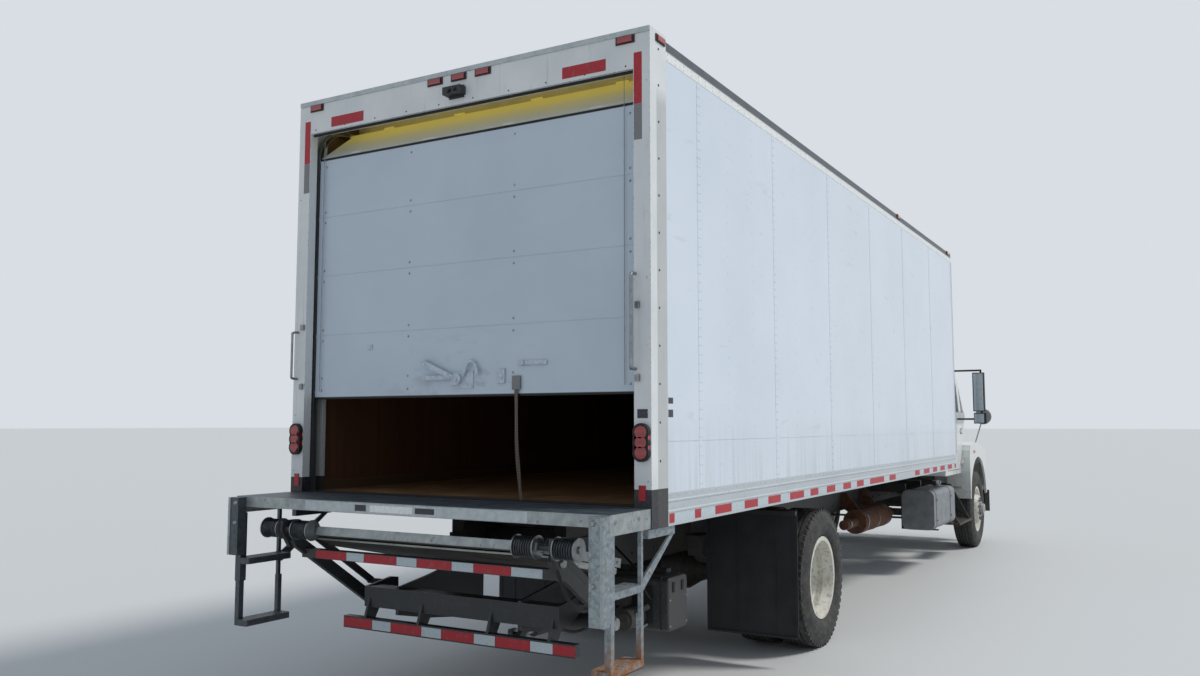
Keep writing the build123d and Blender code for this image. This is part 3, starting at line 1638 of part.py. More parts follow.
pivot = (at(arm_pivot[0]), arm_pivot[1])
pin = (at(arm_pin[0]), arm_pin[1])
high_pivot = (pivot[0], pivot[1] + link_rise)
high_pin = (pin[0], pin[1] + link_rise)
beam_x = (at(60), at(160))
beam_z = (590, 710)
beam_half = 700
mount_half = (rail_half_width, rail_half_width + 20)
guard_x = (at(20), at(70))
guard_z = (460, 530)
guard_half = 830
link_inner = link_half - link_thickness / 2
link_outer = link_half + link_thickness / 2
base_eye = (at(cylinder_base_station), pivot[1] - lever_length + 15)
lever_end = (pivot[0] - lever_length * sin(radians(40.5)), pivot[1] - lever_length * cos(radians(40.5)))
cylinder_y = -(cylinder_half - 60)
rod_eye = lever_end[0]
lever_pin_radius = 12
eye_slot = (2 * lever_pin_radius + 8, 2 * lever_pin_radius + 36)
with BuildPart() as lift_frame:
    for side in (1, -1):
        plate_across(
            [
                (at(60), 560),
                (at(60), 720),
                (at(340), 760),
                (at(rail_rear_station), 800),
                (at(rail_rear_station), rail_top - 20),
                (at(900), rail_top - 20),
                (at(900), 520),
                (at(830), 440),
                (at(760), 440),
                (at(340), 500),
            ],
            (side * mount_half[0], side * mount_half[1]),
        )
        plate_across(
            [
                (beam_x[0], beam_z[0]),
                (beam_x[0], beam_z[1]),
                (high_pivot[0] - 20, high_pivot[1] + 40),
                (high_pivot[0] + 40, high_pivot[1] + 30),
                (high_pivot[0] + 40, high_pivot[1] - 30),
                (beam_x[1], beam_z[0]),
            ],
            (side * (beam_half - 20), side * beam_half),
        )
        rod_across(high_pivot[0], (side * beam_half, side * (link_outer + 8)), high_pivot[1],
                   lift_pin_radius)
        for y in (250, 660):
            plate_across(
                [
                    (guard_x[0], guard_z[0]),
                    (guard_x[0], guard_z[1]),
                    (beam_x[0], beam_z[0] + 60),
                    (beam_x[1] - 10, beam_z[0] + 60),
                    (beam_x[1] - 10, beam_z[0]),
                    (guard_x[1], guard_z[0]),
                ],
                (side * (y - 8), side * (y + 8)),
            )
    block(beam_x, (-beam_half, beam_half), beam_z)
    block(guard_x, (-guard_half, guard_half), guard_z)
    rod_across(base_eye[0], (-mount_half[0], mount_half[0]), base_eye[1] - 30, 22)
    for side in (1, -1):
        rod_across(pivot[0], (side * (mount_half[0] - 5), side * (mount_half[1] + 5)), pivot[1],
                   torque_tube_radius + running_gap, Mode.SUBTRACT)
    rod_along((at(420), base_eye[0] + 10), cylinder_y, base_eye[1], 38)
    rod_along((at(410), base_eye[0] - 30), cylinder_y, base_eye[1], 20, Mode.SUBTRACT)
lift_frame.part.label = "lift_frame"
export_step(lift_frame.part, "parts/lift_frame.step")

# Lift arms: torque tube with its lever, two arms and the taped cross tube
with BuildPart() as lift_arms:
    rod_across(pivot[0], (-arm_half, arm_half), pivot[1], torque_tube_radius)
    for side in (1, -1):
        plate_across(bar_outline(pivot, pin, arm_depth),
                     (side * (arm_half - arm_thickness / 2), side * (arm_half + arm_thickness / 2)))
        rod_across(pin[0], (side * (arm_half - arm_thickness), side * (arm_half + arm_thickness)),
                   pin[1], lift_pin_radius + running_gap, Mode.SUBTRACT)
    block((at(tape_tube[0]) - tape_tube_side / 2, at(tape_tube[0]) + tape_tube_side / 2),
          (-arm_half - arm_thickness / 2, arm_half + arm_thickness / 2),
          (tape_tube[1] - tape_tube_side / 2, tape_tube[1] + tape_tube_side / 2))
    plate_across(bar_outline(pivot, lever_end, 56), (-cylinder_half - 12, -cylinder_half + 12))
    rod_across(lever_end[0], (-cylinder_half, cylinder_y + 20), lever_end[1], lever_pin_radius)
lift_arms.part.label = "lift_arms"
export_step(lift_arms.part, "parts/lift_arms.step")

with BuildPart() as link_arms:
    for side in (1, -1):
        plate_across(bar_outline(high_pivot, high_pin, link_depth), (side * link_inner, side * link_outer))
        for x, z in (high_pivot, high_pin):
            rod_across(x, (side * (link_inner - 5), side * (link_outer + 5)), z,
                       lift_pin_radius + running_gap, Mode.SUBTRACT)
link_arms.part.label = "link_arms"
export_step(link_arms.part, "parts/link_arms.step")

hinge = (at(leaf_hinge[0]), leaf_hinge[1])
shackle_inner = shackle_half - shackle_thickness / 2
shackle_outer = shackle_half + shackle_thickness / 2
hinge_pin_radius = 16
with BuildPart() as lift_shackles:
    for side in (1, -1):
        plate_across(
            [
                (pin[0] + 30, pin[1] - 30),
                (pin[0] + 30, high_pin[1] + 28),
                (hinge[0] - 30, high_pin[1] + 28),
                (hinge[0] - 36, hinge[1] - 10),
                (pin[0] - 30, pin[1] - 30),
            ],
            (side * shackle_inner, side * shackle_outer),
        )
        rod_across(pin[0], (side * shackle_inner, side * (arm_half - arm_thickness / 2)), pin[1],
                   lift_pin_radius)
        rod_across(high_pin[0], (side * shackle_inner, side * (link_inner - 2)), high_pin[1],
                   lift_pin_radius)
        rod_across(hinge[0], (side * (leaf_half_width - 60), side * 1085), hinge[1], hinge_pin_radius)
        rod_across(hinge[0], (side * (shackle_outer + 6), side * 1075), hinge[1], 34)
lift_shackles.part.label = "lift_shackles"
export_step(lift_shackles.part, "parts/lift_shackles.step")


def leaf_point(along, up):
    """A point of the folded platform: along it from the hinge, and square to it."""
    tilt = radians(leaf_tilt)
    return (hinge[0] + along * cos(tilt) - up * sin(tilt), hinge[1] + along * sin(tilt) + up * cos(tilt))


def leaf_outline(start, end, low, high):
    """Side-view outline of one folded leaf."""
    return [leaf_point(start, low), leaf_point(end, low), leaf_point(end, high), leaf_point(start, high)]


leaf_gap = 8
flip_thickness = 34
flip_top = -leaf_thickness / 2 - leaf_gap
with BuildPart() as lift_platform:
    plate_across(leaf_outline(30, leaf_depth, -leaf_thickness / 2, leaf_thickness / 2),
                 (-leaf_half_width, leaf_half_width))
    for side in (1, -1):
        plate_across(leaf_outline(-26, 40, -leaf_thickness / 2, leaf_thickness / 2),
                     (side * (leaf_half_width - 50), side * leaf_half_width))
        rod_across(hinge[0], (side * (leaf_half_width - 70), side * (leaf_half_width + 5)), hinge[1],
                   hinge_pin_radius + running_gap, Mode.SUBTRACT)
lift_platform.part.label = "lift_platform"
export_step(lift_platform.part, "parts/lift_platform.step")

with BuildPart() as flip_over:
    plate_across(
        [
            leaf_point(160, flip_top),
            leaf_point(160, flip_top - 10),
            leaf_point(320, flip_top - flip_thickness),
            leaf_point(leaf_depth, flip_top - flip_thickness),
            leaf_point(leaf_depth, flip_top),
        ],
        (-leaf_half_width + 20, leaf_half_width - 20),
    )
    for side in (1, -1):
        ear = leaf_outline(leaf_depth - 60, leaf_depth, -leaf_thickness / 2 - leaf_gap, -leaf_thickness / 2)
        plate_across(ear, (side * 600, side * 700))
flip_over.part.label = "flip_over"
export_step(flip_over.part, "parts/flip_over.step")

# Lift rod, pushed by the barrel on the lift frame
barrel_bore = 20
with BuildPart() as lift_rod:
    rod_along((rod_eye + 22, at(570)), cylinder_y, base_eye[1], barrel_bore - running_gap)
    block((rod_eye - 28, rod_eye + 28), (cylinder_y - 14, cylinder_y + 14),
          (base_eye[1] - 42, base_eye[1] + 42))
    with BuildSketch(Plane.XZ.offset(-cylinder_y - 20)) as slot:
        with Locations((rod_eye, base_eye[1])):
            SlotOverall(eye_slot[1], eye_slot[0], rotation=90)
    extrude(slot.sketch, amount=60, both=True, mode=Mode.SUBTRACT)
lift_rod.part.label = "lift_rod"
export_step(lift_rod.part, "parts/lift_rod.step")

# Pump box on the right, rounded as a moulded cover
pump_stations = (at(780), at(1040))
pump_y = (-620, -1000)
pump_z = (478, 790)
with BuildPart() as pump_box:
    block(pump_stations, pump_y, pump_z)
    fillet(pump_box.edges().filter_by(Axis.Y), 30)
    fillet(pump_box.faces().sort_by(Axis.Y)[0].edges(), 12)
pump_box.part.label = "pump_box"
export_step(pump_box.part, "parts/pump_box.step")
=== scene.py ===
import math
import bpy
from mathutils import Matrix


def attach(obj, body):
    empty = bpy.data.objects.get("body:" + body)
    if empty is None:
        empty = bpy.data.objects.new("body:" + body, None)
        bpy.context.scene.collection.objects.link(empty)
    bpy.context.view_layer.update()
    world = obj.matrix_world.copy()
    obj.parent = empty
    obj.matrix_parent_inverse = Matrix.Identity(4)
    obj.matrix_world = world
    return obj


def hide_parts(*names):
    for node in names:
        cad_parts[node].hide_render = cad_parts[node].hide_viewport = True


bl_info = {
    "name": "Box truck with a tuck-under lift",
    "version": (1, 0, 0),
    "blender": (4, 5, 0),
    "location": "View3D > Sidebar > Truck",
    "description": "Finishes the packed box truck: skins, tape, rivets, tyres, lift hardware and stage",
    "category": "Object",
}

import bmesh
import bpy
from mathutils import Matrix, Vector

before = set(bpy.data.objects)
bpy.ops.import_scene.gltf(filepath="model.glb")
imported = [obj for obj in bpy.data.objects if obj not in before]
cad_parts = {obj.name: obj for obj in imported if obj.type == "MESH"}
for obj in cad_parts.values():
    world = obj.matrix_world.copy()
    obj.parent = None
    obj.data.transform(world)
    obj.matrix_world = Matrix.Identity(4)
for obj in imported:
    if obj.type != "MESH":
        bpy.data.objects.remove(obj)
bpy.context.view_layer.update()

# The truck's own places, in metres: stations run forward from the van body's rear face
REAR_FACE = -5.341
FRONT_AXLE = REAR_FACE + 10.162
REAR_AXLE = REAR_FACE + 3.022
BODY_HALF = 1.295
SKIN_HALF = 1.291
LINING_HALF = 1.245
BODY_LENGTH = 8.18
WHEEL_RADIUS = 0.52
FRONT_TRACK_HALF = 1.04
DUAL_MIDDLES = (1.095, 0.765)
SIDES = (("left", 1), ("right", -1))

# Measures that several pieces share
WALL_FOOT, WALL_HEAD = 1.331, 3.668
LAP_HALF, LAP_OUT = 0.022, 0.0012
ROW_OFFSETS = (-0.013, 0.013)
CORNER_RADIUS = 0.12
MARKER_FOOT, MARKER_HEAD = 3.742, 3.772
MARKER_HALF, MARKER_OUT = 0.045, 0.014
FRONT_MARKER_Y = (-1.1, -0.16, 0.0, 0.16, 1.1)
TAIL_LAMP_Y = 1.245
PUMP_FACE = 0.775
MOTOR_Y, MOTOR_Z = -0.80, 0.56
EXHAUST_Y, EXHAUST_Z = -0.62, 0.66
DOOR_HINGE_Y = (1.13, 0.41, -0.37, -1.13)
LEAF_HINGE = (-0.36, 1.08)
LEAF_TILT = 12


def at(station):
    """X of a place measured forward from the body's rear face."""
    return REAR_FACE + station


def ahead(distance):
    """X of a place measured forward from the front axle."""
    return FRONT_AXLE + distance


def per_mm(size):
    """Texture scale at which one cell of a pattern is the given number of millimetres."""
    return 1000.0 / size


def linear(code):
    """Linear colour of an sRGB hex value."""
    channels = [int(code[start:start + 2], 16) / 255 for start in (1, 3, 5)]
    return tuple(c / 12.92 if c <= 0.04045 else ((c + 0.055) / 1.055) ** 2.4 for c in channels) + (1.0,)


def add(tree, kind, settings=None, inputs=None):
    """Adds one node with its own settings, and its inputs as values or as other nodes' sockets."""
    made = tree.nodes.new(kind)
    for name, value in (settings or {}).items():
        setattr(made, name, value)
    for name, value in (inputs or {}).items():
        socket = made.inputs[name]
        if isinstance(value, bpy.types.NodeSocket):
            tree.links.new(value, socket)
        else:
            socket.default_value = value
    return made


# Materials

class Paint:
    """A material tree under construction, with the truck's own coordinates at hand."""

    def __init__(self, name):
        self.material = bpy.data.materials.new(name)
        self.material.use_nodes = True
        self.tree = self.material.node_tree
        self.tree.nodes.clear()
        self.out = add(self.tree, "ShaderNodeOutputMaterial")
        self.place = add(self.tree, "ShaderNodeTexCoord").outputs["Object"]
        split = add(self.tree, "ShaderNodeSeparateXYZ", inputs={0: self.place})
        self.x, self.y, self.z = split.outputs
        self.normal = add(self.tree, "ShaderNodeNewGeometry").outputs["Normal"]

    def feed(self, socket, value):
        """Gives an input another node's socket, a colour code or a plain value."""
        if isinstance(value, bpy.types.NodeSocket):
            self.tree.links.new(value, socket)
        else:
            socket.default_value = linear(value) if isinstance(value, str) else value

    def noise(self, size, detail=3.0, stretch=None):
        """Cloudy pattern of the given feature size in millimetres, 0 to 1."""
        place = self.place
        if stretch:
            place = add(self.tree, "ShaderNodeMapping", inputs={"Vector": place, "Scale": stretch}).outputs[0]
        return add(self.tree, "ShaderNodeTexNoise", inputs={
            "Vector": place, "Scale": per_mm(size), "Detail": detail, "Roughness": 0.55}).outputs[0]

    def cells(self, size):
        """Distance field of cells of the given size in millimetres."""
        return add(self.tree, "ShaderNodeTexVoronoi", inputs={
            "Vector": self.place, "Scale": per_mm(size)}).outputs["Distance"]

    def math(self, operation, first, second=0.0):
        """One calculation on sockets or numbers, kept between 0 and 1."""
        return add(self.tree, "ShaderNodeMath", {"operation": operation, "use_clamp": True},
                   {0: first, 1: second}).outputs[0]

    def times(self, first, second):
        """The product of two sockets or numbers, kept between 0 and 1."""
        return self.math("MULTIPLY", first, second)

    def patches(self, low, high, size, **how):
        """Cloudy patches: 0 where the noise is below low, 1 above high."""
        return self.span(self.noise(size, **how), low, high)

    def span(self, value, low, high):
        """0 below low, 1 above high, smooth between; low above high turns it round."""
        ends = (0.0, 1.0) if low < high else (1.0, 0.0)
        return add(self.tree, "ShaderNodeMapRange", {"clamp": True}, {
            "Value": value, "From Min": min(low, high), "From Max": max(low, high),
            "To Min": ends[0], "To Max": ends[1]}).outputs[0]

    def size_of(self, value):
        """The value without its sign."""
        return add(self.tree, "ShaderNodeMath", {"operation": "ABSOLUTE"}, {0: value}).outputs[0]

    def mix(self, share, first, second):
        """One colour over another by a share."""
        made = add(self.tree, "ShaderNodeMix", {"data_type": "RGBA"})
        for socket, value in ((made.inputs[0], share), (made.inputs[6], first), (made.inputs[7], second)):
            self.feed(socket, value)
        return made.outputs[2]

    def blend(self, share, first, second):
        """One number over another by a share."""
        made = add(self.tree, "ShaderNodeMix", {"data_type": "FLOAT"})
        for socket, value in ((made.inputs[0], share), (made.inputs[2], first), (made.inputs[3], second)):
            self.feed(socket, value)
        return made.outputs[0]

    def bump(self, height, millimetres, strength=0.6):
        """Surface relief of a height pattern."""
        return add(self.tree, "ShaderNodeBump", inputs={
            "Height": height, "Distance": millimetres / 1000, "Strength": strength}).outputs[0]

    def grain(self, size, millimetres, strength, **how):
        """Fine relief from noise of the given feature size, as deep as the given millimetres."""
        return self.bump(self.noise(size, **how), millimetres, strength)

    def stain(self, colour, second, share, low, high, size, **how):
        """Patches of a second colour over the first, at a share of their strength."""
        return self.mix(self.times(self.patches(low, high, size, **how), share), colour, second)

    def edges(self, width):
        """1 on edges and corners within the width in millimetres, else 0."""
        rounded = add(self.tree, "ShaderNodeBevel", {"samples": 4}, {"Radius": width / 1000}).outputs[0]
        dot = add(self.tree, "ShaderNodeVectorMath", {"operation": "DOT_PRODUCT"},
                  {0: rounded, 1: self.normal}).outputs["Value"]
        return self.span(dot, 0.995, 0.9)

    def finish(self, colour, roughness, relief=None, **sockets):
        """Joins the colour, the roughness and the relief in the surface's shader."""
        shader = add(self.tree, "ShaderNodeBsdfPrincipled")
        values = {"Base Color": colour, "Roughness": roughness}
        if relief is not None:
            values["Normal"] = relief
        names = {"metal": "Metallic", "coat": "Coat Weight", "coat_rough": "Coat Roughness", "ior": "IOR",
                 "sheen": "Sheen Weight", "alpha": "Alpha",
                 "glow": "Emission Strength", "glow_colour": "Emission Color"}
        for name, value in sockets.items():
            values[names[name]] = value
        for name, value in values.items():
            self.feed(shader.inputs[name], value)
        self.tree.links.new(shader.outputs[0], self.out.inputs["Surface"])
        return self.material


def worn_paint(name, colour, dust, chip, roughness, dust_share, chip_width, low_dirt=None):
    """Paint on steel: cloudy fading, specks of dust that can also gather low, chips along the edges."""
    paint = Paint(name)
    cloud = paint.noise(420)
    fine = paint.noise(18, detail=5.0)
    base = paint.mix(paint.span(cloud, 0.35, 0.75), colour, paint.mix(0.16, colour, dust))
    speck = paint.times(paint.span(fine, 0.52, 0.78), paint.span(cloud, 0.3, 0.7))
    dusty = paint.times(speck, dust_share * 2)
    if low_dirt:
        rising = paint.span(paint.z, low_dirt, 0.1)
        dusty = paint.math("ADD", dusty, paint.times(rising, paint.span(fine, 0.25, 0.75)))
    base = paint.mix(dusty, base, dust)
    worn = paint.times(paint.edges(chip_width), paint.patches(0.42, 0.6, 9, detail=4.0))
    base = paint.mix(worn, base, chip)
    rough = paint.blend(dusty, roughness, 0.85)
    return paint.finish(base, rough, paint.grain(2.5, 0.15, 0.35, detail=2.0), coat=0.0)


def body_sheet():
    """Pre-painted aluminium sheet outside, tinted blue as painted sky light, varnished plywood lining inside."""
    paint = Paint("painted aluminium sheet")
    # Painted sky light: the white sheet is tinted blue for the blue sky shining on it
    sheet = paint.mix(paint.patches(0.3, 0.8, 900), "#D3DDE8", "#C8D3DF")
    streaks = paint.noise(40, detail=4.0, stretch=(1.0, 1.0, 0.04))
    grime = paint.times(paint.span(paint.z, 1.75, 1.32), paint.span(streaks, 0.45, 0.75))
    sheet = paint.mix(paint.times(grime, 0.5), sheet, "#A7A9A4")
    scuffs = paint.patches(0.64, 0.72, 70, detail=6.0, stretch=(0.25, 1.0, 1.0))
    sheet = paint.mix(paint.times(scuffs, 0.35), sheet, "#B9C0C6")
    ply = paint.noise(34, detail=6.0, stretch=(1.0, 1.0, 0.05))
    lining = paint.mix(ply, "#3D2418", "#6A4630")
    inside = paint.times(paint.span(paint.size_of(paint.y), LINING_HALF + 0.003, LINING_HALF + 0.001),
                        paint.span(paint.x, at(BODY_LENGTH - 0.044), at(BODY_LENGTH - 0.046)))
    colour = paint.mix(inside, sheet, lining)
    # Sheet riveted to posts 0.41 m apart pulls in at each post, which bends what it mirrors
    waves = paint.noise(520, detail=1.0, stretch=(1.0, 1.0, 0.45))
    dents = paint.noise(130, detail=2.0, stretch=(1.0, 1.0, 0.5))
    relief = paint.bump(paint.blend(0.22, waves, dents), 10.0, 0.55)
    return paint.finish(colour, paint.blend(inside, 0.2, 0.6), relief, coat=0.4, coat_rough=0.06)


def rail_metal():
    """Extruded aluminium rails: dull grey at the roof and darkened there as painted shade under the roof's edge,
    brushed and pale at the floor.
    """
    paint = Paint("extruded aluminium rail")
    low = paint.mix(paint.noise(60, detail=4.0, stretch=(0.1, 1.0, 1.0)), "#B4BCC2", "#CDD3D6")
    low = paint.stain(low, "#8B8982", 0.5, 0.58, 0.7, 14, detail=5.0)
    # Painted shade: the roof rail is dark grey for the shade under the roof's overhang, over its dull aluminium
    high = paint.mix(paint.noise(80), "#4A4E54", "#62676D")
    colour = paint.mix(paint.span(paint.z, 3.722, 3.724), low, high)
    colour = paint.mix(paint.span(paint.size_of(paint.y), LINING_HALF + 0.004, LINING_HALF + 0.001),
                       colour, "#6E5744")
    grain = paint.noise(1.5, detail=2.0, stretch=(0.02, 1.0, 1.0))
    return paint.finish(colour, 0.42, paint.bump(grain, 0.1, 0.3), metal=0.45)


def rear_enamel():
    """White enamel on the rear posts and header, black on the castings, sill and camera, with painted shade on the
    posts' faces inside the doorway.
    """
    paint = Paint("enamelled steel post")
    white = paint.mix(paint.patches(0.3, 0.8, 300), "#DDE0E0", "#CBD0D2")
    drips = paint.noise(22, detail=5.0, stretch=(1.0, 1.0, 0.06))
    white = paint.mix(paint.times(paint.span(drips, 0.6, 0.75), 0.45), white, "#A99E8C")
    rust = paint.times(paint.edges(5.0), paint.patches(0.5, 0.62, 16, detail=5.0))
    white = paint.mix(rust, white, "#6E5038")
    black = paint.mix(paint.patches(0.45, 0.8, 24, detail=5.0), "#1D1F24", "#3C3F44")
    low = paint.span(paint.z, 1.358, 1.356)
    box = paint.times(paint.span(paint.x, at(-0.0005), at(-0.0015)), paint.span(paint.z, 3.5, 3.51))
    dark = paint.math("MAXIMUM", low, box)
    colour = paint.mix(dark, white, black)
    # Painted shade: the post faces inside the doorway, below the header, are darkened
    inner = paint.times(paint.span(paint.x, at(0.074), at(0.076)), paint.span(paint.z, 3.5, 3.4))
    colour = paint.mix(paint.times(inner, 0.35), colour, "#4E4A44")
    return paint.finish(colour, paint.blend(dark, 0.32, 0.55), paint.grain(6, 0.2, 0.35),
                        coat=0.15)


def door_panel():
    """Roll-up door: baked white paint on laminated panels, scuffed round the handle, its white tinted blue as painted
    sky light, and painted roof light on the leaning top panel.
    """
    paint = Paint("baked white door panel")
    # Painted sky light: the white is tinted blue for the blue sky shining on it
    colour = paint.mix(paint.patches(0.3, 0.8, 700), "#C0CCD8", "#B4C1CE")
    colour = paint.stain(colour, "#8F959A", 0.5, 0.66, 0.72, 7, detail=6.0)
    lane = paint.times(paint.span(paint.size_of(paint.y), 0.75, 0.2), paint.span(paint.z, 2.35, 1.95))
    scuff = paint.patches(0.54, 0.68, 60, detail=6.0, stretch=(1.0, 0.35, 1.0))
    colour = paint.mix(paint.times(paint.times(lane, scuff), 0.55), colour, "#9AA1A6")
    # Painted light: the panel that leans in is tinted warm yellow and made to glow, standing for sunlight through the
    # fibreglass roof right above it
    lit = paint.span(paint.z, 3.425, 3.435)
    high = paint.span(paint.z, 3.46, 3.62)
    warm = paint.mix(high, "#C6CCC8", "#DCCB68")
    colour = paint.mix(lit, colour, warm)
    bottom = paint.span(paint.z, 1.866, 1.863)
    colour = paint.mix(bottom, colour, "#17181A")
    # Painted glow: the leaning panel emits light though it is no lamp, standing for light through the roof
    painted_glow_share = paint.times(lit, paint.blend(high, 0.10, 0.28))
    return paint.finish(colour, 0.34, paint.grain(4, 0.12, 0.3), coat=0.2,
                        glow=painted_glow_share, glow_colour=warm)


def door_metal():
    """Galvanised door tracks, and the latch parts painted white with the door, tinted blue like it as painted sky
    light.
    """
    paint = Paint("door hardware")
    track = paint.mix(paint.noise(20, detail=4.0), "#9A9D9F", "#7B7E80")
    edge = paint.span(paint.size_of(paint.y), 1.0, 1.05)
    # Painted sky light: the latch white is tinted blue like the door's
    colour = paint.mix(edge, paint.mix(paint.patches(0.4, 0.75, 30, detail=5.0), "#C3CEDA", "#A3ADB6"), track)
    return paint.finish(colour, 0.4, paint.grain(3, 0.1, 0.3, detail=2.0), metal=paint.times(edge, 0.8))


def deck_wood():
    """Laminated oak deck: 32 mm strips along the body, worn pale in the middle."""
    paint = Paint("laminated oak deck")
    bricks = add(paint.tree, "ShaderNodeTexBrick", {"offset": 0.37, "squash": 1.0}, {
        "Vector": paint.place, "Color1": linear("#6E4D31"), "Color2": linear("#8A6642"),
        "Mortar": linear("#2E2018"), "Scale": 1.0, "Mortar Size": 0.0008, "Brick Width": 1.1,
        "Row Height": 0.032}).outputs[0]
    grain = paint.noise(26, detail=6.0, stretch=(0.05, 1.0, 1.0))
    colour = paint.mix(paint.times(grain, 0.55), bricks, "#4A3322")
    worn = paint.times(paint.patches(0.5, 0.72, 260, detail=5.0), 0.6)
    colour = paint.mix(worn, colour, "#9A8468")
    return paint.finish(colour, 0.62, paint.bump(grain, 0.4, 0.5))


def roof_glassfibre():
    """Glass-fibre roof skin in pale cream; the warm light it lets through is painted on the door panel below, not made
    here.
    """
    paint = Paint("glass fibre roof")
    strands = paint.noise(5, detail=6.0)
    colour = paint.mix(paint.span(strands, 0.35, 0.7), "#E6E1C6", "#D9D2AE")
    colour = paint.mix(paint.patches(0.5, 0.9, 180, detail=4.0), colour, "#C4BFA4")
    return paint.finish(colour, 0.5, paint.bump(strands, 0.2, 0.4))


def tread_steel():
    """Steel plate and side panels of the bed extension, scuffed through its grey paint."""
    paint = Paint("scuffed deck plate")
    top = paint.mix(paint.patches(0.35, 0.7, 90, detail=6.0), "#3E4851", "#59636B")
    scratch = paint.patches(0.6, 0.7, 8, detail=4.0, stretch=(0.06, 1.0, 1.0))
    top = paint.mix(paint.times(scratch, 0.4), top, "#868D91")
    side = paint.mix(paint.patches(0.35, 0.7, 50, detail=5.0), "#8E9698", "#A9AFAE")
    side = paint.stain(side, "#5F5B52", 0.7, 0.6, 0.7, 26, detail=5.0)
    facing = add(paint.tree, "ShaderNodeSeparateXYZ", inputs={0: paint.normal}).outputs[2]
    colour = paint.mix(paint.span(facing, 0.6, 0.8), side, top)
    return paint.finish(colour, 0.48, paint.grain(3, 0.3, 0.4), metal=0.55)


def zinc_steel(name, light, dark, rust, rust_top):
    """Hot-dip galvanised steel with its spangle: darkened on the left by painted shade, rusting from the foot up on the
    right.
    """
    paint = Paint(name)
    spangle = add(paint.tree, "ShaderNodeTexVoronoi", inputs={"Vector": paint.place, "Scale": per_mm(16)}).outputs[1]
    grey = add(paint.tree, "ShaderNodeSeparateColor", inputs={0: spangle}).outputs[0]
    colour = paint.mix(grey, light, dark)
    colour = paint.stain(colour, "#5B5F60", 0.6, 0.5, 0.7, 30, detail=5.0)
    # Painted shade: the left steps are darkened for the shade they stand in, and kept free of rust
    left = paint.span(paint.y, -0.1, 0.1)
    colour = paint.mix(paint.times(left, 0.78), colour, "#343B42")
    foot = paint.times(paint.span(paint.z, rust_top, rust_top - 0.2), paint.patches(0.35, 0.55, 40, detail=5.0))
    worn = paint.times(paint.edges(4.0), paint.patches(0.5, 0.65, 12, detail=4.0))
    rusty = paint.math("MAXIMUM", foot, paint.times(worn, 0.6))
    rusty = paint.math("SUBTRACT", rusty, left)
    colour = paint.mix(rusty, colour, paint.mix(paint.noise(12, detail=5.0), rust, "#5A3A24"))
    return paint.finish(colour, paint.blend(rusty, 0.42, 0.85), paint.grain(4, 0.4, 0.5, detail=4.0),
                        metal=paint.blend(rusty, 0.6, 0.0))


def platform_metal():
    """Platform extrusion: bright worn aluminium edges, a darker underside that is painted shade with grimy patches."""
    paint = Paint("worn aluminium extrusion")
    bright = paint.mix(paint.patches(0.3, 0.7, 30, detail=5.0, stretch=(1.0, 0.15, 1.0)), "#8F9492", "#B4B8B4")
    # Painted shade with grime: faces that look down are darkened, in cloudy patches
    grime = paint.mix(paint.patches(0.35, 0.7, 70, detail=6.0, stretch=(1.0, 0.3, 1.0)), "#3B3A37", "#5A564F")
    down = add(paint.tree, "ShaderNodeSeparateXYZ", inputs={0: paint.normal}).outputs[2]
    under = paint.span(down, -0.35, -0.6)
    colour = paint.mix(under, bright, grime)
    spots = paint.times(paint.patches(0.6, 0.7, 16, detail=5.0), 0.5)
    colour = paint.mix(spots, colour, "#4A4741")
    return paint.finish(colour, paint.blend(under, 0.38, 0.7), paint.grain(3, 0.3, 0.4),
                        metal=paint.blend(under, 0.75, 0.2))


def tyre_rubber():
    """Road tyre rubber, greyed by dust in its sidewall and shoulders."""
    paint = Paint("vulcanised tyre rubber")
    colour = paint.mix(paint.patches(0.4, 0.75, 50, detail=6.0), "#26272A", "#4A4843")
    colour = paint.stain(colour, "#5D5952", 0.5, 0.5, 0.7, 9, detail=4.0)
    return paint.finish(colour, 0.82, paint.grain(2.5, 0.25, 0.5))


def wheel_enamel():
    """White enamel on steel wheels, with brake dust round the hand holes."""
    paint = Paint("enamelled steel wheel")
    colour = paint.mix(paint.patches(0.35, 0.75, 120, detail=5.0), "#D8D6CC", "#BDB9AC")
    dust = paint.times(paint.patches(0.5, 0.72, 28, detail=6.0), 0.7)
    colour = paint.mix(dust, colour, "#857E70")
    rust = paint.times(paint.edges(4.0), paint.patches(0.5, 0.62, 12, detail=4.0))
    colour = paint.mix(rust, colour, "#6B5038")
    return paint.finish(colour, 0.4, paint.grain(5, 0.2, 0.3), coat=0.1)


def cab_lacquer():
    """Gloss lacquer on the cab and hood, with dust low down and painted shade along edges and creases."""
    paint = Paint("white cab lacquer")
    colour = paint.mix(paint.patches(0.3, 0.8, 600), "#DFE1DE", "#D2D6D5")
    dust = paint.times(paint.span(paint.z, 1.3, 0.7), paint.patches(0.35, 0.75, 60, detail=6.0))
    colour = paint.mix(paint.times(dust, 0.75), colour, "#9C9584")
    # Painted shade: the lacquer is darkened within 2 mm of edges and creases
    inner = paint.edges(2.0)
    colour = paint.mix(paint.times(inner, 0.25), colour, "#A9AAA6")
    return paint.finish(colour, paint.blend(dust, 0.22, 0.7), paint.grain(2, 0.05, 0.2, detail=2.0),
                        coat=0.5, coat_rough=0.05)


def window_glass():
    """Tinted safety glass, its tint cloudy in patches."""
    paint = Paint("tinted safety glass")
    colour = paint.mix(paint.patches(0.45, 0.8, 90, detail=5.0), "#5C6B6C", "#76807D")
    return paint.finish(colour, 0.04, alpha=0.42, ior=1.5, coat=0.3)


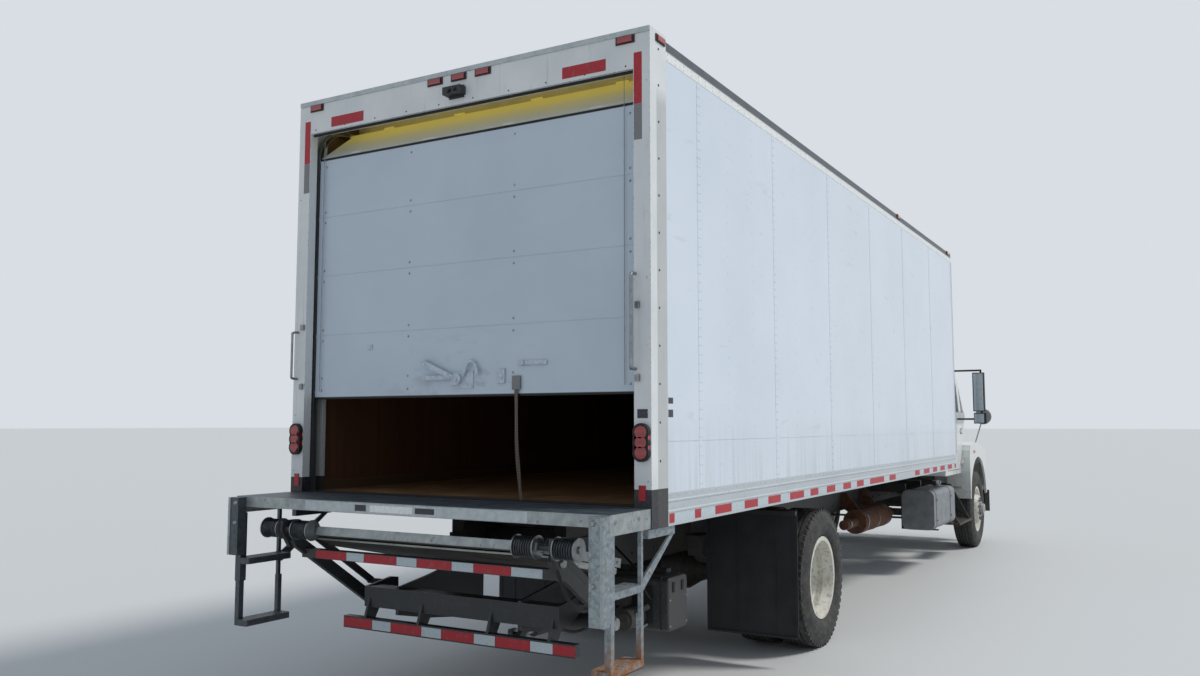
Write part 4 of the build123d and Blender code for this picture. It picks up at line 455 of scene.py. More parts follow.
def lens(name, colour, dark):
    """Moulded polycarbonate lens with prism ribs about 6 mm apart."""
    paint = Paint(name)
    ribs = add(paint.tree, "ShaderNodeTexWave", {"bands_direction": "Z"}, {
        "Vector": paint.place, "Scale": per_mm(6) / 20, "Distortion": 0.0}).outputs[1]
    shade = paint.mix(paint.times(ribs, 0.5), colour, dark)
    return paint.finish(shade, 0.12, paint.bump(ribs, 0.6, 0.5), coat=0.8, ior=1.58)


def plain(name, colour, second, roughness, size, relief_size, relief_mm, metal=0.0):
    """A moulded, cast or woven surface: two close colours in a cloud, and a fine relief."""
    paint = Paint(name)
    shade = paint.mix(paint.patches(0.35, 0.72, size, detail=5.0), colour, second)
    relief = paint.grain(relief_size, relief_mm, 0.5)
    return paint.finish(shade, roughness, relief, metal=metal)


def woven(name, colour, second, pitch):
    """Cloth or webbing: two threads crossing at the given pitch in millimetres."""
    paint = Paint(name)
    warp = add(paint.tree, "ShaderNodeTexWave", {"bands_direction": "Y"}, {
        "Vector": paint.place, "Scale": per_mm(pitch) / 20, "Distortion": 0.6}).outputs[1]
    weft = add(paint.tree, "ShaderNodeTexWave", {"bands_direction": "Z"}, {
        "Vector": paint.place, "Scale": per_mm(pitch) / 20, "Distortion": 0.6}).outputs[1]
    threads = paint.times(warp, weft)
    shade = paint.mix(threads, second, colour)
    shade = paint.stain(shade, "#6A6459", 0.4, 0.5, 0.75, 60, detail=5.0)
    return paint.finish(shade, 0.85, paint.bump(threads, 0.6, 0.6), sheen=0.3)


def tape(name, colour, second):
    """Retroreflective tape: a fine honeycomb under a clear face."""
    paint = Paint(name)
    comb = paint.cells(3.5)
    shade = paint.mix(paint.span(comb, 0.2, 0.6), colour, second)
    shade = paint.stain(shade, "#77706A", 0.25, 0.56, 0.7, 30, detail=5.0)
    return paint.finish(shade, 0.5, paint.bump(comb, 0.1, 0.3), coat=0.15)


def make_materials():
    """Every finish of the truck, by the name its pieces ask for."""
    made = {
        "skin": body_sheet(),
        "rail": rail_metal(),
        "post": rear_enamel(),
        "door": door_panel(),
        "latch": door_metal(),
        "deck": deck_wood(),
        "roof": roof_glassfibre(),
        "plate": tread_steel(),
        "zinc": zinc_steel("galvanised step steel", "#97A0A5", "#7C868C", "#A8713F", 0.72),
        "platform": platform_metal(),
        "tyre": tyre_rubber(),
        "wheel": wheel_enamel(),
        "cab": cab_lacquer(),
        "glass": window_glass(),
        "red_lens": lens("red lamp lens", "#A3121B", "#5A070C"),
        "amber_lens": lens("amber lamp lens", "#D0640F", "#8A3D06"),
        "clear_lens": lens("clear lamp lens", "#C9CFD2", "#8E979C"),
        "chassis": worn_paint("road-worn chassis paint", "#1D1E20", "#5E564A", "#5A4030", 0.5, 0.45, 3.0, 0.75),
        "lift": worn_paint("black powder coat", "#25282C", "#5B5A55", "#6A6F72", 0.45, 0.4, 4.0),
        "spring": plain("oiled spring steel", "#2C2F33", "#4A4D50", 0.3, 30, 2.0, 0.1, metal=0.7),
        "steel": plain("bare bright steel", "#9A9D9F", "#7B7E80", 0.34, 40, 2.0, 0.1, metal=0.85),
        "mill": plain("mill-finish aluminium", "#A2A8AC", "#8A9095", 0.4, 60, 2.0, 0.1, metal=0.6),
        "plastic": plain("moulded black plastic", "#1A1B1D", "#2A2B2C", 0.55, 50, 1.2, 0.15),
        "iron": plain("grey cast iron", "#3A3A3A", "#524E48", 0.75, 30, 3.0, 0.5, metal=0.2),
        "rusty": plain("rusted exhaust steel", "#6B4430", "#3E2A20", 0.85, 45, 3.0, 0.5, metal=0.1),
        "tank": plain("dull aluminium tank", "#8C9195", "#73777A", 0.4, 120, 2.0, 0.1, metal=0.55),
        "flap": plain("moulded rubber flap", "#17181C", "#24262B", 0.7, 140, 3.0, 0.2),
        "rubber": plain("black rubber seal", "#101113", "#1C1D1F", 0.7, 30, 1.5, 0.15),
        "cloth": woven("woven seat cloth", "#3B3D42", "#24262A", 3.0),
        "web": woven("nylon webbing", "#7A6A5C", "#4A3F37", 2.5),
        "red_tape": tape("red reflective tape", "#BE1126", "#9A0A1C"),
        "white_tape": tape("white reflective tape", "#C9D3D8", "#AEBAC0"),
        "grey_tape": tape("worn tape backing", "#85888A", "#6E7072"),
        "sticker": plain("blank vinyl label", "#E9EAE8", "#D8DAD8", 0.35, 20, 1.0, 0.02),
        "mirror": plain("silvered mirror glass", "#C4CACE", "#BAC1C6", 0.06, 400, 40.0, 0.02, metal=1.0),
        "dark_label": plain("dark vinyl label", "#22262C", "#3A3F45", 0.4, 12, 1.0, 0.02),
        "strip": plain("brushed aluminium strip", "#B9C0C3", "#A3ABAF", 0.5, 40, 1.5, 0.05, metal=0.25),
    }
    return made


M = {}

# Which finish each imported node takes
FINISHES = {
    "chassis": ("frame_rails", "frame_fittings", "leaf_springs", "front_axle", "knuckle_left", "knuckle_right",
                "tie_rod", "rear_axle", "radiator", "front_bumper", "cab_steps", "body_sills"),
    "steel": ("drive_shaft", "lift_rod", "hood_mirrors"),
    "latch": ("door_fittings",),
    "iron": ("engine_block",),
    "wheel": ("wheel_front_left", "wheel_front_right", "wheels_rear_left", "wheels_rear_right"),
    "tyre": ("tyre_front_left", "tyre_front_right", "tyres_rear_left", "tyres_rear_right"),
    "cab": ("cab_shell", "cab_floor_pan", "cab_door_left", "cab_door_right", "hood"),
    "glass": ("cab_glass", "door_glass_left", "door_glass_right"),
    "plastic": ("door_mirror_left", "door_mirror_right", "dashboard", "grille"),
    "cloth": ("seats",),
    "clear_lens": ("headlamps",),
    "tank": ("fuel_tank",),
    "rusty": ("exhaust",),
    "flap": ("mud_flaps",),
    "mill": ("body_subframe",),
    "deck": ("load_floor",),
    "rail": ("body_rails",),
    "skin": ("body_walls",),
    "roof": ("roof",),
    "post": ("rear_frame",),
    "door": ("rollup_door",),
    "web": ("pull_strap",),
    "red_lens": ("rear_lamps",),
    "plate": ("bed_extension",),
    "zinc": ("lift_steps",),
    "lift": ("lift_frame", "lift_arms", "link_arms", "lift_shackles", "pump_box"),
    "platform": ("lift_platform", "flip_over"),
}


# Making pieces

def piece_from(name, mesh, material, body="chassis"):
    """A finished piece at the origin, on its body."""
    made = bpy.data.objects.new(name, mesh)
    bpy.context.scene.collection.objects.link(made)
    mesh.materials.clear()
    mesh.materials.append(M[material])
    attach(made, body)
    return made


def box_into(shape, low, high, bevel=0.0, turn=None):
    """One box into a mesh under construction, its edges rounded, turned about its middle if asked."""
    low, high = Vector(low), Vector(high)
    centre = (low + high) / 2
    size = high - low
    matrix = Matrix.Translation(centre)
    if turn is not None:
        matrix = matrix @ turn.to_4x4()
    matrix = matrix @ Matrix.Diagonal((abs(size.x), abs(size.y), abs(size.z), 1.0))
    made = bmesh.ops.create_cube(shape, size=1.0, matrix=matrix)
    if bevel:
        edges = {edge for vertex in made["verts"] for edge in vertex.link_edges}
        bmesh.ops.bevel(shape, geom=list(edges), offset=bevel, segments=2, affect="EDGES", profile=0.6)


def rod_into(shape, start, end, radius, sides, far_radius=None):
    """One capped rod between two points, coned if its far radius differs."""
    start, end = Vector(start), Vector(end)
    line = end - start
    matrix = Matrix.Translation((start + end) / 2) @ line.to_track_quat("Z", "Y").to_matrix().to_4x4()
    bmesh.ops.create_cone(shape, cap_ends=True, segments=sides, radius1=radius,
                          radius2=radius if far_radius is None else far_radius, depth=line.length, matrix=matrix)


def lathe_into(shape, profile, x, z, steps):
    """A ring turned about the line along Y at (x, z), from (y, radius) points."""
    rings = []
    for index in range(steps):
        angle = 2 * math.pi * index / steps
        ring = [shape.verts.new((x + r * math.cos(angle), y, z + r * math.sin(angle))) for y, r in profile]
        rings.append(ring)
    count = len(profile)
    for index in range(steps):
        near, far = rings[index], rings[(index + 1) % steps]
        for step in range(count):
            after = (step + 1) % count
            shape.faces.new((near[step], near[after], far[after], far[step]))


def band_into(shape, places):
    """A closed band through rings of four corners each."""
    rings = [[shape.verts.new(place) for place in ring] for ring in places]
    for near, far in zip(rings, rings[1:]):
        for corner in range(4):
            after = (corner + 1) % 4
            shape.faces.new((near[corner], near[after], far[after], far[corner]))
    shape.faces.new(rings[0])
    shape.faces.new(reversed(rings[-1]))


def finish_mesh(name, shape, smooth, merge=True):
    """Ends a mesh under construction: doubles merged unless told not to, faces turned outwards."""
    if merge:
        bmesh.ops.remove_doubles(shape, verts=shape.verts, dist=1e-6)
    bmesh.ops.recalc_face_normals(shape, faces=shape.faces)
    mesh = bpy.data.meshes.new(name)
    shape.to_mesh(mesh)
    shape.free()
    if smooth is not None:
        mesh.shade_smooth()
        mesh.set_sharp_from_angle(angle=math.radians(smooth))
    return mesh


def piece_of(shape, name, material, body="chassis", smooth=40):
    """A piece from a mesh under construction whose solids stay apart."""
    return piece_from(name, finish_mesh(name, shape, smooth, merge=False), material, body)


def boxes(name, material, rows, body="chassis", bevel=0.0, smooth=None):
    """One piece of many boxes, each given by its lowest and highest corners."""
    shape = bmesh.new()
    for low, high in rows:
        box_into(shape, low, high, bevel)
    return piece_of(shape, name, material, body, smooth)


def rods(name, material, rows, body="chassis", sides=16):
    """One piece of many rods, each given by its two ends and radius."""
    shape = bmesh.new()
    for start, end, radius in rows:
        rod_into(shape, start, end, radius, sides)
    return piece_of(shape, name, material, body)


def evaluated_mesh(carrier):
    """The plain mesh that a carrier object makes, with the carrier removed."""
    bpy.context.scene.collection.objects.link(carrier)
    depsgraph = bpy.context.evaluated_depsgraph_get()
    mesh = bpy.data.meshes.new_from_object(carrier.evaluated_get(depsgraph), depsgraph=depsgraph)
    bpy.data.objects.remove(carrier)
    return mesh


def curve_mesh(name, points, radius=0.0, resolution=6, smooth=True):
    """A round bar led by its control points, or only its line where the radius is 0."""
    curve = bpy.data.curves.new(name, "CURVE")
    curve.dimensions = "3D"
    curve.resolution_u = resolution
    if radius:
        curve.bevel_depth = radius
        curve.bevel_resolution = 3
        curve.use_fill_caps = True
    spline = curve.splines.new("NURBS" if smooth else "POLY")
    spline.points.add(len(points) - 1)
    for point, place in zip(spline.points, points):
        point.co = (*place, 1.0)
    if smooth:
        spline.order_u = 3
        spline.use_endpoint_u = True
    return evaluated_mesh(bpy.data.objects.new(name, curve))


def tube(name, material, points, radius, body="chassis", smooth=True):
    """A bent bar or hose led by its control points, closed at both ends."""
    return piece_from(name, curve_mesh(name, points, radius, smooth=smooth), material, body)


def line_points(route):
    """Points along the smooth NURBS line that has the route's points as its control points."""
    mesh = curve_mesh("line", route, resolution=12)
    points = [vertex.co.copy() for vertex in mesh.vertices]
    bpy.data.meshes.remove(mesh)
    return points


def hose(name, material, route, radius, body="chassis"):
    """A free hose or cable from the route's first point to its last."""
    piece = tube(name, material, route, radius, body)
    line_points(route)


def gaps(fields):
    """The stretches between each field and the next."""
    return [(before[1], after[0]) for before, after in zip(fields, fields[1:])]


def round_axle(x, y, radius, count, shift=0.0):
    """Places evenly round a wheel's axis, begun a share of one step along."""
    angles = [2 * math.pi * (index + shift) / count for index in range(count)]
    return [(x + radius * math.cos(angle), y, WHEEL_RADIUS + radius * math.sin(angle)) for angle in angles]


# Geometry Nodes

def new_tree(name, sockets):
    """An empty Geometry Nodes tree with its named inputs."""
    tree = bpy.data.node_groups.new(name, "GeometryNodeTree")
    tree.interface.new_socket("Geometry", in_out="INPUT", socket_type="NodeSocketGeometry")
    for label, kind, value in sockets:
        tree.interface.new_socket(label, in_out="INPUT", socket_type=kind).default_value = value
    tree.interface.new_socket("Material", in_out="INPUT", socket_type="NodeSocketMaterial")
    tree.interface.new_socket("Geometry", in_out="OUTPUT", socket_type="NodeSocketGeometry")
    return tree, add(tree, "NodeGroupInput"), add(tree, "NodeGroupOutput")


def close_tree(tree, source, output, geometry):
    """Ends a tree in real geometry that carries its material."""
    real = add(tree, "GeometryNodeRealizeInstances", inputs={0: geometry})
    done = add(tree, "GeometryNodeSetMaterial", inputs={
        "Geometry": real.outputs[0], "Material": source.outputs["Material"]})
    tree.links.new(done.outputs[0], output.inputs[0])
    return tree


def head_tree(along_edges):
    """Rivets, bolts and nuts, all facing one way: spaced along each edge, or one on each point."""
    tree, source, output = new_tree("heads along edges" if along_edges else "heads on points", (
        ("Spacing", "NodeSocketFloat", 0.05),
        ("Head Radius", "NodeSocketFloat", 0.006),
        ("Crown Radius", "NodeSocketFloat", 0.0035),
        ("Height", "NodeSocketFloat", 0.003),
        ("Sides", "NodeSocketInt", 8),
        ("Facing", "NodeSocketVector", (0.0, -1.0, 0.0)),
    ))
    given = source.outputs
    if along_edges:
        line = add(tree, "GeometryNodeMeshToCurve", inputs={"Mesh": given["Geometry"]})
        stops = add(tree, "GeometryNodeResampleCurve", {"mode": "LENGTH"}, {
            "Curve": line.outputs[0], "Length": given["Spacing"]})
    else:
        stops = add(tree, "GeometryNodeMeshToPoints", inputs={"Mesh": given["Geometry"]})
    head = add(tree, "GeometryNodeMeshCone", inputs={
        "Vertices": given["Sides"], "Radius Top": given["Crown Radius"],
        "Radius Bottom": given["Head Radius"], "Depth": given["Height"]})
    turn = add(tree, "FunctionNodeAlignRotationToVector", {"axis": "Z"}, {"Vector": given["Facing"]})
    placed = add(tree, "GeometryNodeInstanceOnPoints", inputs={
        "Points": stops.outputs[0], "Instance": head.outputs[0], "Rotation": turn.outputs[0]})
    return close_tree(tree, source, output, placed.outputs[0])


def coil_tree():
    """A round wire wound along an edge of the carrier: torsion springs."""
    tree, source, output = new_tree("wound coil", (
        ("Turns", "NodeSocketFloat", 12.0),
        ("Coil Radius", "NodeSocketFloat", 0.05),
        ("Wire Radius", "NodeSocketFloat", 0.006),
        ("Length", "NodeSocketFloat", 0.3),
        ("Start", "NodeSocketVector", (0.0, 0.0, 0.0)),
        ("Lay", "NodeSocketRotation", (0.0, 0.0, 0.0)),
    ))
    spiral = add(tree, "GeometryNodeCurveSpiral", inputs={
        "Resolution": 24, "Rotations": source.outputs["Turns"], "Start Radius": source.outputs["Coil Radius"],
        "End Radius": source.outputs["Coil Radius"], "Height": source.outputs["Length"]})
    wire = add(tree, "GeometryNodeCurvePrimitiveCircle", inputs={
        "Resolution": 8, "Radius": source.outputs["Wire Radius"]})
    solid = add(tree, "GeometryNodeCurveToMesh", inputs={
        "Curve": spiral.outputs[0], "Profile Curve": wire.outputs[0], "Fill Caps": True})
    laid = add(tree, "GeometryNodeTransform", inputs={
        "Geometry": solid.outputs[0], "Translation": source.outputs["Start"], "Rotation": source.outputs["Lay"]})
    smooth = add(tree, "GeometryNodeSetShadeSmooth", inputs={"Geometry": laid.outputs[0]})
    return close_tree(tree, source, output, smooth.outputs[0])


def ring_tree():
    """Blocks round a wheel: tread lugs stood on a circle about a line along Y."""
    tree, source, output = new_tree("blocks round a wheel", (
        ("Count", "NodeSocketInt", 60),
        ("Radius", "NodeSocketFloat", 0.51),
        ("Block", "NodeSocketVector", (0.04, 0.03, 0.02)),
        ("Centre", "NodeSocketVector", (0.0, 0.0, 0.0)),
        ("Phase", "NodeSocketFloat", 0.0),
    ))
    circle = add(tree, "GeometryNodeMeshCircle", inputs={
        "Vertices": source.outputs["Count"], "Radius": source.outputs["Radius"]})
    block = add(tree, "GeometryNodeMeshCube", inputs={"Size": source.outputs["Block"]})
    place = add(tree, "GeometryNodeInputPosition")
    turn = add(tree, "FunctionNodeAlignRotationToVector", {"axis": "X"}, {"Vector": place.outputs[0]})
    placed = add(tree, "GeometryNodeInstanceOnPoints", inputs={
        "Points": circle.outputs[0], "Instance": block.outputs[0], "Rotation": turn.outputs[0]})
    phase = add(tree, "ShaderNodeCombineXYZ", inputs={"Z": source.outputs["Phase"]})
    phased = add(tree, "GeometryNodeTransform", inputs={"Geometry": placed.outputs[0], "Rotation": phase.outputs[0]})
    laid = add(tree, "GeometryNodeTransform", inputs={
        "Geometry": phased.outputs[0], "Translation": source.outputs["Centre"],
        "Rotation": (math.pi / 2, 0.0, 0.0)})
    return close_tree(tree, source, output, laid.outputs[0])


TREES = {}


def grow(name, tree, mesh, values, material, body="chassis"):
    """Runs a Geometry Nodes tree on a carrier mesh and keeps the result as a plain mesh piece."""
    carrier = bpy.data.objects.new(name, mesh or bpy.data.meshes.new(name))
    modifier = carrier.modifiers.new("build", "NODES")
    modifier.node_group = TREES[tree]
    values = {**values, "Material": M[material]}
    for item in TREES[tree].interface.items_tree:
        if item.in_out == "INPUT" and item.name in values:
            modifier[item.identifier] = values[item.name]
    return piece_from(name, evaluated_mesh(carrier), material, body)


def lines_mesh(name, rows):
    """A carrier of separate straight edges."""
    mesh = bpy.data.meshes.new(name)
    points = [point for row in rows for point in row]
    mesh.from_pydata(points, [(2 * index, 2 * index + 1) for index in range(len(rows))], [])
    return mesh


def points_mesh(name, points):
    """A carrier of loose points."""
    mesh = bpy.data.meshes.new(name)
    mesh.from_pydata(points, [], [])
    return mesh


def heads(name, rows, facing, spacing, radius, height, crown=0.6, sides=8, material="skin"):
    """Rivets or bolts at even steps along straight lines."""
    return grow(name, "heads", lines_mesh(name, rows), {
        "Spacing": spacing, "Head Radius": radius, "Crown Radius": radius * crown, "Height": height,
        "Sides": sides, "Facing": facing}, material)


def studs(name, points, facing, radius, height, crown, sides, material, body="chassis"):
    """Bolt heads, nuts and studs on single points."""
    return grow(name, "points", points_mesh(name, points), {
        "Head Radius": radius, "Crown Radius": radius * crown, "Height": height,
        "Sides": sides, "Facing": facing}, material, body)


def joined(name, parts):
    """Several pieces on one body made one, each keeping its own finish."""
    bpy.ops.object.select_all(action="DESELECT")
    for part in parts:
        part.select_set(True)
    bpy.context.view_layer.objects.active = parts[0]
    bpy.ops.object.join()
    parts[0].name = name
    return parts[0]


# What a user would change

class TruckBodySettings(bpy.types.PropertyGroup):
    """Sizes of the van body's fastenings and seams."""

    rivet_radius: bpy.props.FloatProperty(
        name="Rivet radius", description="Radius of a body rivet's head", default=0.0055, unit="LENGTH")
    rivet_spacing: bpy.props.FloatProperty(
        name="Rivet spacing", description="Distance between the rivets of a wall seam", default=0.0515, unit="LENGTH")
    rail_rivet_spacing: bpy.props.FloatProperty(
        name="Rail rivet spacing", description="Distance between the rivets of a rail", default=0.1,
        unit="LENGTH")
    seam_pitch: bpy.props.FloatProperty(
        name="Seam pitch", description="Distance between the wall's riveted seams", default=1.236, unit="LENGTH")
    first_seam: bpy.props.FloatProperty(
        name="First seam", description="Station of the first seam", default=0.619, unit="LENGTH")
    faint_pitch: bpy.props.FloatProperty(
        name="Post pitch", description="Distance between the wall posts behind the skin", default=0.412, unit="LENGTH")


class TruckWheelSettings(bpy.types.PropertyGroup):
    """Sizes of tyres, nuts and springs."""

    lug_count: bpy.props.IntProperty(
        name="Tread blocks", description="Tread blocks round a drive tyre", default=58)
    groove_depth: bpy.props.FloatProperty(
        name="Groove depth", description="Depth of the tread", default=0.014, unit="LENGTH")
    nut_count: bpy.props.IntProperty(name="Wheel nuts", description="Nuts that hold a wheel", default=10)
    coil_turns: bpy.props.FloatProperty(
        name="Spring turns", description="Turns of a platform spring", default=8.0)


class TruckStageSettings(bpy.types.PropertyGroup):
    """The floor and the lights."""

    floor_colour: bpy.props.StringProperty(
        name="Floor colour", description="sRGB hex value of the floor", default="#C9CBCB")
    sun_strength: bpy.props.FloatProperty(name="Key light", description="Strength of the key light", default=2.1)
    sky_strength: bpy.props.FloatProperty(name="Sky light", description="Strength of the even light", default=0.62)


# Operators

class TRUCK_OT_finishes(bpy.types.Operator):
    """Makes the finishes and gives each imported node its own"""

    bl_idname = "truck.finishes"
    bl_label = "Finishes"

    def execute(self, context):
        M.update(make_materials())
        TREES.update(heads=head_tree(True), points=head_tree(False), coil=coil_tree(), ring=ring_tree())
        for finish, nodes in FINISHES.items():
            for name in nodes:
                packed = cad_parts[name]
                packed.data.materials.clear()
                packed.data.materials.append(M[finish])
        return {"FINISHED"}


class TRUCK_OT_wall_seams(bpy.types.Operator):
    """Riveted seams, post rivets and bolts, rail rivets, light strip and wall ridge of the van body"""

    bl_idname = "truck.wall_seams"
    bl_label = "Wall seams"

    seam_count = 7
    wall_span = (0.25, 8.0)

    def execute(self, context):
        body = context.scene.truck_body
        rear, front = self.wall_span
        seams = [body.first_seam + body.seam_pitch * index for index in range(self.seam_count)]
        faint = [seam + body.faint_pitch * step for seam in [body.first_seam - body.seam_pitch] + seams
                 for step in (1, 2) if rear < seam + body.faint_pitch * step < front]
        for name, side in SIDES:
            face = side * SKIN_HALF
            laps = [((at(seam - LAP_HALF), face - side * 0.002, WALL_FOOT),
                     (at(seam + LAP_HALF), face + side * LAP_OUT, WALL_HEAD)) for seam in seams]
            boxes(f"seam_laps_{name}", "skin", laps)
            rows = [[(at(seam + offset), face + side * 0.001, z) for z in (1.36, 3.64)]
                    for seam in seams for offset in ROW_OFFSETS]
            heads(f"seam_rivets_{name}", rows, (0, side, 0), body.rivet_spacing, body.rivet_radius, 0.0025)
            rows = [((at(post), face, 1.37), (at(post), face, 3.64)) for post in faint]
            heads(f"post_rivets_{name}", rows, (0, side, 0), body.rivet_spacing * 2, body.rivet_radius * 0.85, 0.0016)
            rows = [((at(0.10), side * BODY_HALF, 1.50), (at(0.10), side * BODY_HALF, 3.70))]
            heads(f"post_bolts_{name}", rows, (0, side, 0), 0.2, 0.0075, 0.003, material="iron")
            rows = [((at(0.22), face, level), (at(8.0), face, level)) for level in (1.318, 3.682, 3.708)]
            heads(f"rail_rivets_{name}", rows, (0, side, 0), body.rail_rivet_spacing, body.rivet_radius, 0.003,
                  material="rail")
            boxes(f"light_strip_{name}", "sticker", [
                ((at(0.195), face, 3.671), (at(8.02), face + side * 0.0014, 3.7185))])
            boxes(f"wall_ridge_{name}", "skin", [
                ((at(0.195), face - side * 0.001, 1.601), (at(8.02), face + side * 0.0022, 1.6055))])
        return {"FINISHED"}


class TRUCK_OT_rail_tape(bpy.types.Operator):
    """Red and white tape along the side rails, side markers and blank labels"""

    bl_idname = "truck.rail_tape"
    bl_label = "Rail tape and markers"

    # Red fields of the side rail, as (rear station, front station)
    red_fields = (
        (0.21, 0.27), (0.53, 0.61), (0.81, 1.05), (1.26, 1.48), (1.67, 1.90), (2.09, 2.38), (2.53, 2.71),
        (2.92, 3.13), (3.35, 3.56), (3.74, 3.94), (4.15, 4.62), (4.82, 5.05), (5.86, 6.06), (6.26, 6.53),
        (6.71, 6.92), (7.10, 7.34), (7.52, 7.76), (7.92, 8.02))
    tape_z = (1.172, 1.221)
    longest_white = 0.7

    def execute(self, context):
        for name, side in SIDES:
            face = side * SKIN_HALF
            red = [((at(start), face, self.tape_z[0]), (at(end), face + side * 0.0008, self.tape_z[1]))
                   for start, end in self.red_fields]
            white = [((at(start + 0.004), face, self.tape_z[0]),
                      (at(end - 0.004), face + side * 0.0006, self.tape_z[1]))
                     for start, end in gaps(self.red_fields) if end - start < self.longest_white]
            boxes(f"red_tape_{name}", "red_tape", red)
            boxes(f"white_tape_{name}", "white_tape", white)
            markers = [((at(station - MARKER_HALF), side * BODY_HALF, MARKER_FOOT),
                        (at(station + MARKER_HALF), side * (BODY_HALF + MARKER_OUT), MARKER_HEAD))
                       for station in (5.40, 7.85, 0.12)]
            bezels = [((low[0] - 0.01, side * (BODY_HALF - 0.001), low[2] - 0.006),
                       (high[0] + 0.01, side * (BODY_HALF + 0.006), high[2] + 0.006)) for low, high in markers]
            boxes(f"side_markers_{name}", "amber_lens", markers[:2], bevel=0.004)
            boxes(f"rear_side_marker_{name}", "red_lens", markers[2:], bevel=0.004)
            boxes(f"marker_bases_{name}", "plastic", bezels, bevel=0.002)
        labels = [((at(0.205), -SKIN_HALF - 0.0006, low), (at(0.262), -SKIN_HALF, high))
                  for low, high in ((1.80, 1.832), (1.728, 1.768))]
        boxes("wall_labels", "dark_label", labels)
        return {"FINISHED"}


class TRUCK_OT_rear_frame(bpy.types.Operator):
    """Tape, lamp gaskets, clips, grab bars and camera of the rear frame"""

    bl_idname = "truck.rear_frame_details"
    bl_label = "Rear frame details"

    def execute(self, context):
        face = at(0)
        red = [((face - 0.001, low, 3.60), (face, high, 3.665)) for low, high in ((0.736, 1.014), (-1.027, -0.748))]
        worn = []
        for side in (1, -1):
            red.append(((face - 0.001, side * 1.199, 3.385), (face, side * 1.247, 3.665)))
            worn.append(((face - 0.001, side * 1.199, 3.19), (face, side * 1.247, 3.384)))
            red.append(((face - 0.004, side * 1.222, 1.30), (face, side * 1.262, 1.378)))
        boxes("frame_red_tape", "red_tape", red)
        boxes("frame_worn_tape", "grey_tape", worn)
        shape = bmesh.new()
        for side in (1, -1):
            lamp_y = side * TAIL_LAMP_Y
            for level in (1.545, 1.597, 1.649):
                rod_into(shape, (face - 0.028, lamp_y, level), (face - 0.001, lamp_y, level), 0.047, 28)
        piece_of(shape, "tail_lamp_gaskets", "rubber")
        shape = bmesh.new()
        for side in (1, -1):
            lamp_y = side * TAIL_LAMP_Y
            for level, radius in ((1.545, 0.036), (1.649, 0.036), (1.597, 0.034)):
                rod_into(shape, (face - 0.034, lamp_y, level), (face - 0.027, lamp_y, level), radius * 0.86, 28, radius)
        piece_of(shape, "tail_lamp_lenses", "red_lens")
        bezels = [((face - 0.006, y - 0.058, 3.722), (face, y + 0.058, 3.768))
                  for y in (1.142, 0.157, -0.022, -0.20, -1.148)]
        boxes("marker_bezels", "plastic", bezels, bevel=0.002)
        boxes("post_plates", "dark_label", [((face - 0.003, -1.275, 1.722), (face, -1.215, 1.768))], bevel=0.001)
        clips = [((face - 0.016, side * 1.205, level - 0.018), (face, side * 1.232, level + 0.018))
                 for level in (2.31, 1.93) for side in (1, -1)]
        boxes("post_clips", "steel", clips, bevel=0.002)
        for name, foot_y, y, out, levels, radius in (("right", -1.204, -1.204, 0.05, (1.976, 2.0, 2.45, 2.475), 0.009),
                                                     ("left", 1.262, 1.268, 0.045, (1.98, 2.0, 2.26, 2.28), 0.008)):
            route = [(face, foot_y, levels[0])] + [(face - out, y, z) for z in levels] + [(face, foot_y, levels[-1])]
            tube(f"grab_bar_{name}", "steel", route, radius)
        shape = bmesh.new()
        box_into(shape, (face - 0.052, -0.05, 3.636), (face - 0.006, 0.035, 3.672), 0.006)
        rod_into(shape, (face - 0.075, 0.012, 3.652), (face - 0.05, 0.012, 3.652), 0.016, 20)
        rod_into(shape, (face - 0.072, -0.034, 3.654), (face - 0.05, -0.034, 3.654), 0.011, 20)
        box_into(shape, (face - 0.01, -0.065, 3.615), (face, 0.045, 3.69), 0.002)
        piece_of(shape, "rear_camera", "plastic")
        rows = [((face, side * 1.273, 1.40), (face, side * 1.273, 3.5)) for side in (1, -1)]
        heads("post_rivets_rear", rows, (-1, 0, 0), 0.3, 0.007, 0.003, material="post")
        rows = [((face, -1.15, 3.60), (face, 1.15, 3.60))]
        heads("header_rivets", rows, (-1, 0, 0), 0.24, 0.006, 0.003, material="post")
        boxes("header_gutter", "strip", [((face - 0.006, -BODY_HALF + 0.002, 3.768), (face, BODY_HALF - 0.002, 3.798))],
              bevel=0.002)
        boxes("header_seal", "rubber", [((face + 0.02, -1.19, 3.566), (face + 0.034, 1.19, 3.582))], bevel=0.002)
        return {"FINISHED"}


